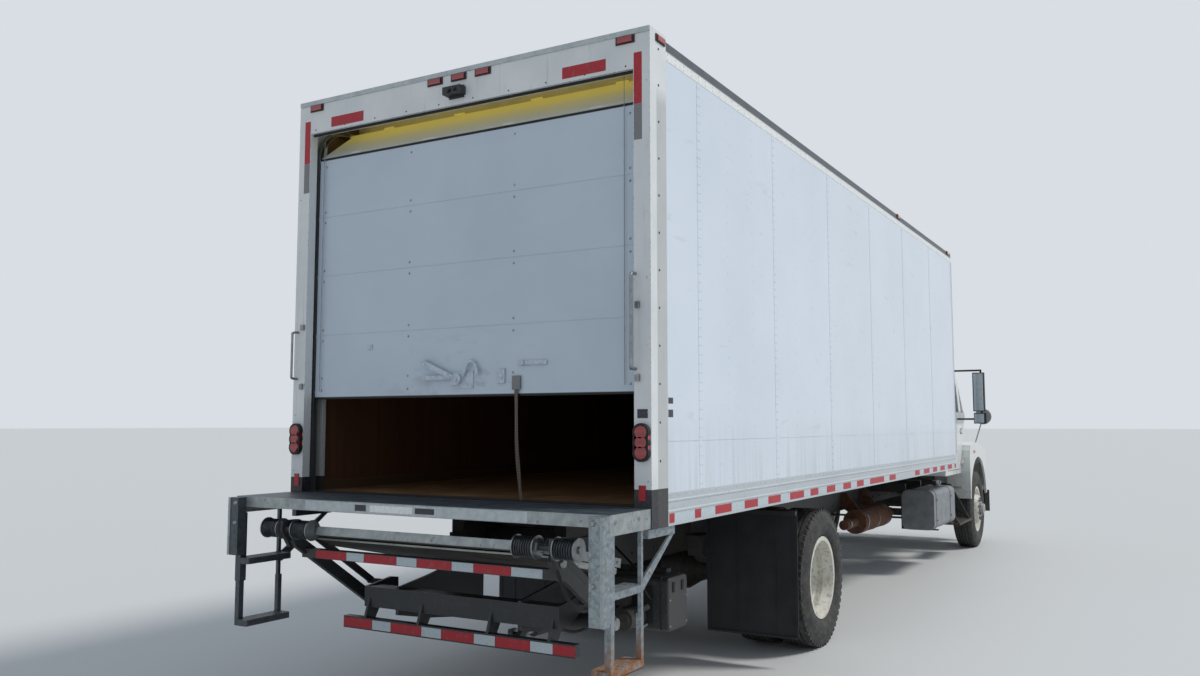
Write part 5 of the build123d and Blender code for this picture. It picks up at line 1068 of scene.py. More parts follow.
class TRUCK_OT_door_details(bpy.types.Operator):
    """Hinge bolts, cables, seals, seam lips, latch, lever and strap bracket of the roll-up door"""

    bl_idname = "truck.door_details"
    bl_label = "Roll-up door details"

    def execute(self, context):
        face = at(0.085)
        seams = (3.033, 2.647, 2.26)
        points = [(face, y, seam + offset) for seam in seams for y in DOOR_HINGE_Y for offset in (-0.035, 0.035)]
        points += [(face, y, z) for y in DOOR_HINGE_Y for z in (1.905, 1.985, 3.37)]
        studs("door_bolts", points, (-1, 0, 0), 0.008, 0.003, 0.5, 10, "steel")
        cables = [((face - 0.012, y, 1.90), (face - 0.012, y, 3.58), 0.0022) for y in (1.14, -1.10)]
        rods("door_cables", "steel", cables, sides=6)
        boxes("door_seal", "rubber", [((face + 0.002, -1.188, 1.850), (face + 0.028, 1.188, 1.866))], bevel=0.002)
        boxes("door_top_gap", "rubber", [((face - 0.003, -1.187, 3.414), (face + 0.02, 1.187, 3.428))], bevel=0.001)
        lips = [((face + 0.0022, -1.187, seam - 0.0036), (face + 0.02, 1.187, seam + 0.0036)) for seam in seams]
        boxes("door_seam_lips", "door", lips)
        shape = bmesh.new()
        box_into(shape, (face - 0.007, -0.075, 1.915), (face, 0.085, 2.0), 0.002)
        rod_into(shape, (face - 0.03, 0.02, 1.953), (face - 0.006, 0.02, 1.953), 0.034, 24, 0.026)
        box_into(shape, (face - 0.036, 0.0, 1.988), (face - 0.022, 0.275, 2.018), 0.004,
                 Matrix.Rotation(math.radians(23), 3, "X"))
        rod_into(shape, (face - 0.038, 0.262, 2.056), (face - 0.02, 0.262, 2.056), 0.02, 20)
        box_into(shape, (face - 0.0135, -0.318, 1.924), (face, -0.262, 2.008), 0.004)
        rod_into(shape, (face - 0.02, -0.293, 1.965), (face, -0.293, 1.965), 0.017, 18)
        box_into(shape, (face - 0.0135, -0.603, 2.023), (face, -0.407, 2.049), 0.004)
        rod_into(shape, (face - 0.024, -0.44, 2.036), (face - 0.004, -0.44, 2.036), 0.015, 14)
        box_into(shape, (face - 0.006, 0.70, 2.155), (face, 0.74, 2.185), 0.002)
        piece_of(shape, "latch", "latch")
        hook = [(face - 0.02, y, z)
                for y, z in ((-0.03, 1.97), (-0.05, 2.03), (-0.08, 2.065), (-0.125, 2.03), (-0.13, 1.975))]
        tube("latch_hook", "latch", hook, 0.009)
        boxes("strap_bracket", "grey_tape", [((face - 0.016, -0.428, 1.885), (face, -0.372, 1.965))], bevel=0.004,
              smooth=40)
        return {"FINISHED"}


class TRUCK_OT_strap(bpy.types.Operator):
    """The door's pull strap, from its bracket to the deck"""

    bl_idname = "truck.strap"
    bl_label = "Pull strap"

    half_width = 0.0115
    half_thickness = 0.0012
    twist_size = 0.25
    twist_rate = 1.9

    def execute(self, context):
        face = at(0.085) - 0.011
        route = [(face, -0.400, 1.90), (face - 0.004, -0.405, 1.74), (face - 0.010, -0.413, 1.55),
                 (face - 0.006, -0.428, 1.40), (face - 0.002, -0.437, 1.285), (face + 0.006, -0.437, 1.2665)]
        shape = bmesh.new()
        rings = []
        line = line_points(route)
        for index, here in enumerate(line):
            share = index / (len(line) - 1) * (len(route) - 1)
            twist = self.twist_size * math.sin(share * self.twist_rate)
            across = Vector((math.sin(twist), math.cos(twist), 0.0)) * self.half_width
            thick = Vector((math.cos(twist), -math.sin(twist), 0.0)) * self.half_thickness
            rings.append([here + across * a + thick * t for a, t in ((-1, -1), (1, -1), (1, 1), (-1, 1))])
        band_into(shape, rings)
        strap = piece_from("strap", finish_mesh("strap", shape, 40), "web")
        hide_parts("pull_strap")
        return {"FINISHED"}


def tyre_into(shape, centre_y, x, groove):
    """One tyre's carcass with its sidewall rings and the tread's grooves."""
    half = 0.1395
    bead = 0.2903
    crown = WHEEL_RADIUS
    wall = [
        (-half + 0.038, bead), (-half + 0.030, bead + 0.012), (-half + 0.032, bead + 0.022),
        (-half + 0.012, bead + 0.040),
        (-half + 0.003, bead + 0.075), (-half, bead + 0.105), (-half + 0.002, bead + 0.120), (-half, bead + 0.124),
        (-half + 0.004, bead + 0.150), (-half + 0.010, crown - 0.062), (-half + 0.014, crown - 0.050),
        (-half + 0.019, crown - 0.030), (-half + 0.028, crown - 0.012), (-half + 0.042, crown - 0.002)]
    grooves = []
    for middle in (-0.058, -0.020, 0.020, 0.058):
        lift = 0.0 if abs(middle) > 0.04 else 0.001
        top = crown - 0.001 + lift
        grooves += [(middle - 0.0065, top), (middle - 0.0045, crown - groove), (middle + 0.0045, crown - groove),
                    (middle + 0.0065, top)]
    profile = wall + grooves + [(-y, r) for y, r in reversed(wall)]
    lathe_into(shape, [(centre_y + y, r) for y, r in profile], x, WHEEL_RADIUS, 96)


class TRUCK_OT_tyres(bpy.types.Operator):
    """Tyres with grooved tread, sidewall rings and drive blocks"""

    bl_idname = "truck.tyres"
    bl_label = "Tyres"

    block = (0.021, 0.030, 0.05)
    block_sink = 0.0125
    shoulder = 0.093

    def execute(self, context):
        wheels = context.scene.truck_wheels
        for name, side in SIDES:
            shape = bmesh.new()
            tyre_into(shape, side * FRONT_TRACK_HALF, FRONT_AXLE, wheels.groove_depth)
            front = piece_from(f"steer_tyre_{name}", finish_mesh("tyre", shape, 35), "tyre", f"wheel_front_{name}")
            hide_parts(f"tyre_front_{name}")
            shape = bmesh.new()
            for middle in DUAL_MIDDLES:
                tyre_into(shape, side * middle, REAR_AXLE, wheels.groove_depth)
            rear = piece_from(f"drive_tyres_{name}", finish_mesh("tyres", shape, 35), "tyre", f"wheels_rear_{name}")
            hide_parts(f"tyres_rear_{name}")
            parts = []
            for middle in DUAL_MIDDLES:
                for row, offset in enumerate((-self.shoulder, self.shoulder)):
                    parts.append(grow(f"shoulder_blocks_{name}_{middle}_{row}", "ring", None, {
                        "Count": wheels.lug_count, "Radius": WHEEL_RADIUS - self.block_sink, "Block": self.block,
                        "Centre": (REAR_AXLE, side * (middle + offset), WHEEL_RADIUS),
                        "Phase": row * 0.05}, "tyre", f"wheels_rear_{name}"))
            joined(f"shoulder_blocks_{name}", parts)
        return {"FINISHED"}


class TRUCK_OT_wheel_nuts(bpy.types.Operator):
    """Wheel nuts, studs, hub caps and axle flanges"""

    bl_idname = "truck.wheel_nuts"
    bl_label = "Wheel nuts and hubs"

    nut_circle = 0.1425
    cap_circle = 0.074
    cap_bolts = 8

    def execute(self, context):
        wheels = context.scene.truck_wheels
        for name, side in SIDES:
            for x, face, body, cap in ((FRONT_AXLE, 1.190, f"wheel_front_{name}", 1.25),
                                       (REAR_AXLE, 0.942, f"wheels_rear_{name}", 1.05)):
                places = round_axle(x, side * face, self.nut_circle, wheels.nut_count, 0.5)
                nuts = studs(f"nuts_{body}", places, (0, side, 0), 0.0185, 0.024, 0.92, 6, "steel", body)
                ends = studs(f"studs_{body}", places, (0, side, 0), 0.011, 0.036, 0.85, 10, "iron", body)
                joined(f"wheel_nuts_{body}", [nuts, ends])
                shape = bmesh.new()
                profile = [(side * (cap - 0.075), 0.001), (side * (cap - 0.075), 0.086), (side * (cap - 0.060), 0.090),
                           (side * (cap - 0.028), 0.082), (side * (cap - 0.004), 0.070), (side * (cap + 0.003), 0.030),
                           (side * (cap + 0.003), 0.001)]
                lathe_into(shape, profile, x, WHEEL_RADIUS, 48)
                finish = "steel" if x == FRONT_AXLE else "chassis"
                piece_from(f"hub_cap_{body}", finish_mesh("cap", shape, 40), finish, body)
                places = round_axle(x, side * (cap - 0.012), self.cap_circle, self.cap_bolts)
                studs(f"cap_bolts_{body}", places, (0, side, 0), 0.008, 0.010, 0.9, 6, "steel", body)
        return {"FINISHED"}


class TRUCK_OT_lift_tape(bpy.types.Operator):
    """Red and white tape on the lift's cross tube and guard bar, and blank label strips"""

    bl_idname = "truck.lift_tape"
    bl_label = "Lift tape"

    def execute(self, context):
        tube_fields = ((0.80, 0.56), (0.42, 0.18), (0.03, -0.21), (-0.36, -0.60))
        bar_fields = ((0.828, 0.60), (0.45, 0.22), (0.07, -0.16), (-0.31, -0.54), (-0.69, -0.828))
        for name, face, foot, top, fields, stop, body in (
                ("tube", at(-0.222) - 0.026, 0.907, 0.953, tube_fields, ((-0.80, -0.86),), "lift_arms"),
                ("guard", at(0.02), 0.468, 0.522, bar_fields, (), "chassis")):
            red = [((face - 0.0012, low, foot), (face, high, top)) for high, low in fields]
            white = [((face - 0.001, end + 0.003, foot), (face, start - 0.003, top))
                     for start, end in gaps(fields + stop)]
            boxes(f"{name}_red_tape", "red_tape", red, body, 0.0)
            boxes(f"{name}_white_tape", "white_tape", white, body, 0.0)
        strip = at(-0.42)
        boxes("extension_strip", "strip", [((strip - 0.003, -0.822, 1.203), (strip, 0.714, 1.258))], bevel=0.001)
        boxes("strip_label", "sticker", [((strip - 0.0042, -0.08, 1.212), (strip - 0.003, 0.22, 1.249))])
        plates = [((strip - 0.0042, 0.25, 1.214), (strip - 0.003, 0.33, 1.248)),
                  ((strip - 0.0042, -0.23, 1.216), (strip - 0.003, -0.10, 1.246))]
        boxes("strip_plates", "dark_label", plates)
        return {"FINISHED"}


class TRUCK_OT_lift_hardware(bpy.types.Operator):
    """Springs, pins, bolts, buffer edges, step grips and tread rust of the lift"""

    bl_idname = "truck.lift_hardware"
    bl_label = "Lift hardware"

    def execute(self, context):
        turns = context.scene.truck_wheels.coil_turns
        hinge = (at(LEAF_HINGE[0]), LEAF_HINGE[1])
        for name, side in SIDES:
            for place, low, high, held in (("outer", 0.962, 1.078, "lift_shackles"),
                                           ("inner", 0.722, 0.838, "lift_platform")):
                start = low if side == 1 else -high
                coil = grow(f"coil_{place}_{name}", "coil", None, {
                    "Turns": turns, "Coil Radius": 0.048, "Wire Radius": 0.0062, "Length": high - low,
                    "Start": (hinge[0], start, hinge[1]), "Lay": (-math.pi / 2, 0.0, 0.0)}, "spring", held)
                shape = bmesh.new()
                for y in (low - 0.006, high + 0.001):
                    rod_into(shape, (hinge[0], side * y, hinge[1]), (hinge[0], side * (y + 0.006), hinge[1]), 0.06, 32)
                if place == "outer":
                    rod_into(shape, (hinge[0], side * 1.06, hinge[1]), (hinge[0], side * 1.094, hinge[1]), 0.018, 20)
                else:
                    rod_into(shape, (hinge[0], side * low, hinge[1]), (hinge[0], side * high, hinge[1]), 0.036, 24)
                ends = piece_of(shape, f"plates_{place}_{name}", "steel", held)
                joined(f"platform_spring_{place}_{name}", [coil, ends])
            pins = [(at(-0.30), side * 0.953, 1.0), (at(-0.30), side * 0.953, 1.1)]
            studs(f"shackle_pins_{name}", pins, (0, side, 0), 0.024, 0.010, 0.85, 20, "steel", "lift_shackles")
            studs(f"arm_pins_{name}", [(at(0.30), side * 0.9125, 0.60)], (0, side, 0), 0.036, 0.012, 0.9, 24, "steel",
                  "lift_arms")
            studs(f"link_pins_{name}", [(at(0.30), side * 0.886, 0.70)], (0, side, 0), 0.022, 0.008, 0.9, 20, "steel")
            bolts = [(at(x), side * 0.4525, z) for x, z in ((0.95, 0.90), (0.95, 0.80), (0.87, 0.93), (0.60, 0.90))]
            studs(f"mount_bolts_{name}", bolts, (0, side, 0), 0.015, 0.012, 0.9, 6, "steel")
            # Buffers and steps
            face = at(-0.48)
            low = 0.92 if side == 1 else 0.746
            bolts = [(face, side * 1.232, 1.225), (face, side * 1.232, low + 0.19)]
            studs(f"buffer_bolts_{name}", bolts, (-1, 0, 0), 0.014, 0.008, 0.7, 16, "steel")
            edge = ((face - 0.004, side * 1.272, low), (face, side * 1.29, 1.257))
            boxes(f"buffer_edge_{name}", "plate", [edge], bevel=0.001)
            bolts = [(at(x), side * 1.29, 1.225) for x in (-0.37, -0.13)]
            studs(f"extension_bolts_{name}", bolts, (0, side, 0), 0.011, 0.006, 0.7, 16, "steel")
            teeth = [(at(-0.405 + 0.0235 * step), side * (1.192 + 0.021 * row), tread)
                     for tread in (0.536, 0.898) for row in range(5) for step in range(14)]
            studs(f"step_grip_{name}", teeth, (0, 0, 1), 0.0055, 0.0028, 0.6, 6, "zinc")
        boxes("tread_rust", "rusty", [((at(-0.416), -1.254, 0.494), (at(-0.082), -1.2915, 0.5005))], bevel=0.001)
        return {"FINISHED"}


def leaf_place(along, up, y):
    """A point on the folded platform: along it from its hinge, square to it, and across."""
    tilt = math.radians(-LEAF_TILT)
    return (at(LEAF_HINGE[0]) + along * math.cos(tilt) - up * math.sin(tilt), y,
            LEAF_HINGE[1] + along * math.sin(tilt) + up * math.cos(tilt))


def leaf_box(shape, middle, half, bevel=0.0):
    """A box that leans with the folded platform, from its middle on the leaf and its half sizes."""
    middle, half = Vector(leaf_place(*middle)), Vector(half)
    box_into(shape, middle - half, middle + half, bevel, Matrix.Rotation(math.radians(LEAF_TILT), 3, "Y"))


class TRUCK_OT_platform(bpy.types.Operator):
    """Grooves, edge rails, tip and hinges of the folded platform"""

    bl_idname = "truck.platform"
    bl_label = "Folded platform"

    def execute(self, context):
        shape = bmesh.new()
        for index in range(24):
            leaf_box(shape, (0.07 + 0.032 * index, 0.0215, 0.0), (0.005, 0.835, 0.0015))
        piece_of(shape, "platform_ribs", "platform", "lift_platform", smooth=None)
        shape = bmesh.new()
        for side in (1, -1):
            leaf_box(shape, (0.445, 0.0, side * 0.853), (0.40, 0.004, 0.026), 0.002)
        leaf_box(shape, (0.03, 0.004, 0.0), (0.008, 0.705, 0.024), 0.003)
        piece_of(shape, "platform_edges", "plate", "lift_platform", smooth=None)
        points = [leaf_place(along, 0.0, side * 0.857) for side in (1, -1) for along in (0.12, 0.36, 0.60, 0.80)]
        left = studs("platform_bolts_left", points[:4], (0, 1, 0), 0.009, 0.006, 0.7, 12, "steel", "lift_platform")
        right = studs("platform_bolts_right", points[4:], (0, -1, 0), 0.009, 0.006, 0.7, 12, "steel", "lift_platform")
        joined("platform_bolts", [left, right])
        hinges = [(leaf_place(0.862, -0.03, y - 0.07), leaf_place(0.862, -0.03, y + 0.07), 0.014)
                  for y in (-0.65, 0.65)]
        rods("flip_hinges", "lift", hinges, "lift_platform", 18)
        return {"FINISHED"}


class TRUCK_OT_pump(bpy.types.Operator):
    """Cover seam, latches, motor, valve and hoses of the pump box"""

    bl_idname = "truck.pump"
    bl_label = "Pump box and hoses"

    def execute(self, context):
        parts = []
        shape = bmesh.new()
        box_into(shape, (at(0.778), -0.955, 0.486), (at(1.042), -0.943, 0.793), 0.006)
        for x in (0.85, 0.97):
            box_into(shape, (at(x - 0.014), -1.006, 0.70), (at(x + 0.014), -0.998, 0.76), 0.003)
        box_into(shape, (at(PUMP_FACE), -0.90, 0.52), (at(0.781), -0.70, 0.74), 0.003)
        parts.append(piece_of(shape, "pump_cover_seam", "rubber", smooth=None))
        shape = bmesh.new()
        rod_into(shape, (at(0.60), MOTOR_Y, MOTOR_Z), (at(0.782), MOTOR_Y, MOTOR_Z), 0.058, 28)
        rod_into(shape, (at(0.585), MOTOR_Y, MOTOR_Z), (at(0.60), MOTOR_Y, MOTOR_Z), 0.04, 20)
        rod_into(shape, (at(0.66), -0.86, 0.60), (at(0.72), -0.90, 0.63), 0.016, 14)
        box_into(shape, (at(0.70), -0.76, 0.62), (at(0.785), -0.68, 0.70), 0.004)
        parts.append(piece_of(shape, "pump_motor", "iron"))
        cap = studs("pump_box_bolts", [(at(x), -1.0005, z) for x in (0.80, 1.02) for z in (0.51, 0.66)], (0, -1, 0),
                    0.008, 0.005, 0.7, 10, "steel")
        joined("pump_details", parts + [cap])
        # Free hoses, each begun on the pump box or the lift, and the breather that ends bare
        for name, radius, length, body, points in (
                ("pressure_hose", 0.009, 0.574, "chassis", (
                    (PUMP_FACE, -0.72, 0.66), (0.66, -0.68, 0.63), (0.52, -0.48, 0.54), (0.55, -0.37, 0.47),
                    (0.60, -0.318, 0.448))),
                ("return_hose", 0.008, 0.706, "chassis", (
                    (PUMP_FACE, -0.70, 0.63), (0.50, -0.62, 0.50), (0.30, -0.58, 0.52), (0.20, -0.60, 0.62),
                    (0.16, -0.62, 0.66))),
                ("motor_cable", 0.007, 0.780, "chassis", (
                    (PUMP_FACE, -0.90, 0.66), (0.70, -0.90, 0.68), (0.70, -0.84, 0.84), (0.86, -0.66, 0.89),
                    (1.10, -0.44, 0.93))),
                ("arm_hose", 0.009, 0.686, "lift_arms", (
                    (-0.33, -0.93, 1.00), (-0.30, -0.95, 0.86), (-0.16, -0.955, 0.74), (0.02, -0.95, 0.73),
                    (0.20, -0.935, 0.66)))):
            hose(name, "rubber", [(at(station), y, z) for station, y, z in points], radius, body=body)
        hose("breather", "clear_lens", [(at(PUMP_FACE), -0.86, 0.512), (at(0.70), -0.86, 0.512),
                                        (at(0.655), -0.862, 0.44), (at(0.655), -0.862, 0.35)], 0.007)
        return {"FINISHED"}


class TRUCK_OT_underbody(bpy.types.Operator):
    """Flap ribs, tank cap and bolts, battery box straps, exhaust clamps, air lines and rail bolts"""

    bl_idname = "truck.underbody"
    bl_label = "Under the body"

    def execute(self, context):
        rows = []
        for side in (1, -1):
            for y in (0.62, 0.83, 1.12, 1.25):
                rows.append(((at(2.246), side * (y - 0.004), 0.21), (at(2.25), side * (y + 0.004), 1.08)))
            rows.append(((at(2.243), side * 0.585, 1.02), (at(2.25), side * 1.285, 1.06)))
            rows.append(((at(2.240), side * 0.60, 0.197), (at(2.25), side * 1.27, 0.215)))
        boxes("flap_ribs", "flap", rows, bevel=0.001)
        shape = bmesh.new()
        rod_into(shape, (at(8.2), -1.02, 0.965), (at(8.2), -1.02, 1.0), 0.052, 28)
        for angle in range(6):
            turn = math.pi * angle / 3
            place = Vector((at(8.2) + 0.05 * math.cos(turn), -1.02 + 0.05 * math.sin(turn), 0.982))
            box_into(shape, place - Vector((0.007, 0.007, 0.015)), place + Vector((0.007, 0.007, 0.015)), 0.002)
        piece_of(shape, "tank_cap", "steel")
        bolts = [((at(station - 0.0575), -1.203, z), (at(station - 0.0575), -1.214, z), 0.012)
                 for station in (7.35, 8.15) for z in (0.60, 0.83)]
        rods("tank_bolts", "steel", bolts, sides=6)
        straps = [((at(x - 0.02), 0.598, 0.556), (at(x + 0.02), 1.184, 0.896)) for x in (7.76, 8.38)]
        straps.append(((at(7.69), 0.595, 0.84), (at(8.45), 1.186, 0.852)))
        boxes("battery_straps", "chassis", straps, bevel=0.003)
        shape = bmesh.new()
        for x in (6.12, 6.55, 6.98):
            rod_into(shape, (at(x - 0.016), EXHAUST_Y, EXHAUST_Z), (at(x + 0.016), EXHAUST_Y, EXHAUST_Z), 0.1285, 40)
        for x in (5.72, 7.30):
            rod_into(shape, (at(x - 0.02), EXHAUST_Y, EXHAUST_Z), (at(x + 0.02), EXHAUST_Y, EXHAUST_Z), 0.0545, 28)
        piece_of(shape, "exhaust_clamps", "steel")
        for index, (y, z, radius) in enumerate(((0.39, 1.008, 0.008), (0.372, 1.008, 0.006), (-0.385, 1.006, 0.010))):
            points = [(at(station), y, z) for station in (1.2, 2.6, 4.2, 6.4, 8.8)]
            tube(f"frame_line_{index}", "rubber", points, radius, smooth=False)
        for name, side in SIDES:
            rows = [((at(0.75), side * 0.4321, z), (at(10.6), side * 0.4321, z)) for z in (0.83, 0.965)]
            heads(f"rail_bolts_{name}", rows, (0, side, 0), 0.31, 0.011, 0.009, 0.9, 6, "chassis")
        return {"FINISHED"}


class TRUCK_OT_body_front(bpy.types.Operator):
    """Corner trim, rivets and seams of the body's front wall and roof"""

    bl_idname = "truck.body_front"
    bl_label = "Front wall and roof"

    def execute(self, context):
        body = context.scene.truck_body
        face = at(BODY_LENGTH)
        seams = (-0.795, -0.265, 0.265, 0.795)
        laps = [((face - 0.002, y - LAP_HALF, 1.30), (face + LAP_OUT, y + LAP_HALF, WALL_HEAD)) for y in seams]
        boxes("front_laps", "skin", laps)
        rows = [[(face + 0.001, y + offset, z) for z in (1.33, 3.64)] for y in seams for offset in ROW_OFFSETS]
        heads("front_rivets", rows, (1, 0, 0), body.rivet_spacing, body.rivet_radius, 0.0025)
        rows = [((face, -1.14, level), (face, 1.14, level)) for level in (1.20, 3.70)]
        heads("front_rail_rivets", rows, (1, 0, 0), body.rail_rivet_spacing, body.rivet_radius, 0.003, material="rail")
        shape = bmesh.new()
        for side in (1, -1):
            ring = []
            for step in range(9):
                turn = math.pi / 2 * step / 8
                ring.append((face - CORNER_RADIUS + CORNER_RADIUS * math.sin(turn),
                             side * (SKIN_HALF - CORNER_RADIUS + CORNER_RADIUS * math.cos(turn)),
                             math.sin(turn), side * math.cos(turn)))
            band_into(shape, [[(x + out_x * depth, y + out_y * depth, z)
                               for depth, z in ((-0.002, 1.33), (0.003, 1.33), (0.003, 3.67), (-0.002, 3.67))]
                              for x, y, out_x, out_y in ring])
        piece_from("front_corner_trim", finish_mesh("trim", shape, 40), "strip")
        for name, side in SIDES:
            rows = [[(at(8.045), side * (SKIN_HALF + 0.0005), z) for z in (1.36, 3.65)]]
            heads(f"corner_rivets_{name}", rows, (0, side, 0), body.rail_rivet_spacing, body.rivet_radius, 0.003,
                  material="rail")
        markers = [((face, y - MARKER_HALF, MARKER_FOOT), (face + MARKER_OUT, y + MARKER_HALF, MARKER_HEAD))
                   for y in FRONT_MARKER_Y]
        boxes("front_markers", "amber_lens", markers, bevel=0.004)
        bases = [((face - 0.001, y - 0.055, 3.736), (face + 0.006, y + 0.055, 3.778)) for y in FRONT_MARKER_Y]
        boxes("front_marker_bases", "plastic", bases, bevel=0.002)
        bows = [((at(0.62 + 0.61 * index) - 0.02, -1.24, 3.782), (at(0.62 + 0.61 * index) + 0.02, 1.24, 3.7856))
                for index in range(13)]
        boxes("roof_bow_marks", "roof", bows, bevel=0.0015)
        rows = [((at(0.30), side * 1.268, 3.784), (at(8.0), side * 1.268, 3.784)) for side in (1, -1)]
        heads("roof_edge_rivets", rows, (0, 0, 1), body.rail_rivet_spacing, body.rivet_radius, 0.003, material="rail")
        return {"FINISHED"}


def glass_place(up, y, out=0.0):
    """A point on the windshield: along its slope from its foot, across, and out from its face."""
    return (ahead(-0.399) - 0.443 * up + 0.897 * out, y, 1.90 + 0.897 * up + 0.443 * out)


class TRUCK_OT_cab(bpy.types.Operator):
    """Handles, wipers, roof markers, mirror faces, grille mesh, lamps and latches of the cab"""

    bl_idname = "truck.cab"
    bl_label = "Cab details"

    def execute(self, context):
        for name, side in SIDES:
            body = f"cab_door_{name}"
            shape = bmesh.new()
            box_into(shape, (ahead(-1.47), side * 1.088, 1.585), (ahead(-1.31), side * 1.093, 1.665), 0.004)
            box_into(shape, (ahead(-1.455), side * 1.108, 1.628), (ahead(-1.335), side * 1.122, 1.65), 0.005)
            for x in (-1.445, -1.35):
                box_into(shape, (ahead(x - 0.012), side * 1.09, 1.63), (ahead(x + 0.012), side * 1.116, 1.648), 0.003)
            rod_into(shape, (ahead(-1.42), side * 1.09, 1.604), (ahead(-1.42), side * 1.096, 1.604), 0.011, 18)
            piece_of(shape, f"cab_handle_{name}", "plastic", body)
            route = [(ahead(-1.585), side * y, z) for y, z in (
                (1.09, 1.50), (1.145, 1.50), (1.15, 1.55), (1.15, 2.1), (1.145, 2.14), (1.085, 2.14))]
            tube(f"cab_grab_{name}", "steel", route, 0.012)
            rows = [((ahead(-0.918), side * 1.312, low), (ahead(-0.9145), side * 1.431, high))
                    for low, high in ((1.872, 2.358), (1.712, 1.828))]
            boxes(f"mirror_faces_{name}", "mirror", rows, body, bevel=0.001)
            boxes(f"hood_marker_{name}", "amber_lens", [
                ((ahead(-0.33), side * 1.188, 1.30), (ahead(-0.24), side * 1.200, 1.335))], "hood", 0.004)
            shape = bmesh.new()
            box_into(shape, (ahead(-0.60), side * 0.79, 1.36), (ahead(-0.585), side * 0.812, 1.45), 0.004)
            box_into(shape, (ahead(-0.70), side * 0.792, 1.38), (ahead(-0.585), side * 0.806, 1.42), 0.003)
            piece_of(shape, f"hood_latch_{name}", "rubber", smooth=None)
            # Lamp: a round bowl behind the cover, the turn signal outboard of it
            lamp_back = ahead(0.884)
            bowl = ((lamp_back, side * 0.755, 0.98), (ahead(0.8875), side * 0.755, 0.98), 0.066)
            rods(f"headlamp_bowl_{name}", "mirror", [bowl], "hood", 36)
            boxes(f"turn_signal_{name}", "amber_lens", [
                ((lamp_back, side * 0.872, 0.925), (ahead(0.890), side * 0.945, 1.035))], "hood", 0.004, 40)
            trim = [((lamp_back, side * (y - 0.008), 0.902), (ahead(0.892), side * (y + 0.008), 1.058))
                    for y in (0.676, 0.85)]
            trim += [((lamp_back, side * 0.668, z - 0.007), (ahead(0.892), side * 0.952, z + 0.007))
                     for z in (0.908, 1.052)]
            boxes(f"headlamp_trim_{name}", "steel", trim, "hood", 0.003)
            arm = [glass_place(up, side * y, out) for up, y, out in (
                (-0.06, 0.15, 0.012), (-0.02, 0.16, 0.03), (0.03, 0.36, 0.026), (0.05, 0.58, 0.016))]
            tube(f"wiper_arm_{name}", "plastic", arm, 0.006)
            blade = [glass_place(up, side * y, out) for up, y, out in (
                (0.0, 0.33, 0.008), (0.05, 0.58, 0.010), (0.11, 0.83, 0.008))]
            tube(f"wiper_blade_{name}", "rubber", blade, 0.005, smooth=False)
        boxes("cab_roof_markers", "amber_lens", [((ahead(-0.80), y - 0.05, 2.575), (ahead(-0.70), y + 0.05, 2.604))
                                                 for y in (-0.78, -0.16, 0.0, 0.16, 0.78)], bevel=0.008)
        levels = [0.866 + 0.0295 * level for level in range(12)]
        columns = [-0.39 + 0.03 * column for column in range(27)]
        wires = [((ahead(0.855), -0.398, z - 0.003), (ahead(0.861), 0.398, z + 0.003)) for z in levels]
        wires += [((ahead(0.852), y - 0.0025, 0.852), (ahead(0.857), y + 0.0025, 1.208)) for y in columns]
        boxes("grille_mesh", "plastic", wires, "hood", 0.0)
        surround = [((ahead(0.893), y - 0.012, 0.84), (ahead(0.906), y + 0.012, 1.22)) for y in (-0.42, 0.42)]
        surround += [((ahead(0.893), -0.43, z - 0.012), (ahead(0.906), 0.43, z + 0.012)) for z in (0.842, 1.218)]
        boxes("grille_surround", "steel", surround, "hood", 0.004)
        bolts = [(ahead(1.0), side * y, z) for side in (1, -1) for y in (0.36, 0.50) for z in (0.51, 0.66)]
        studs("bumper_bolts", bolts, (1, 0, 0), 0.015, 0.009, 0.7, 12, "steel")
        return {"FINISHED"}


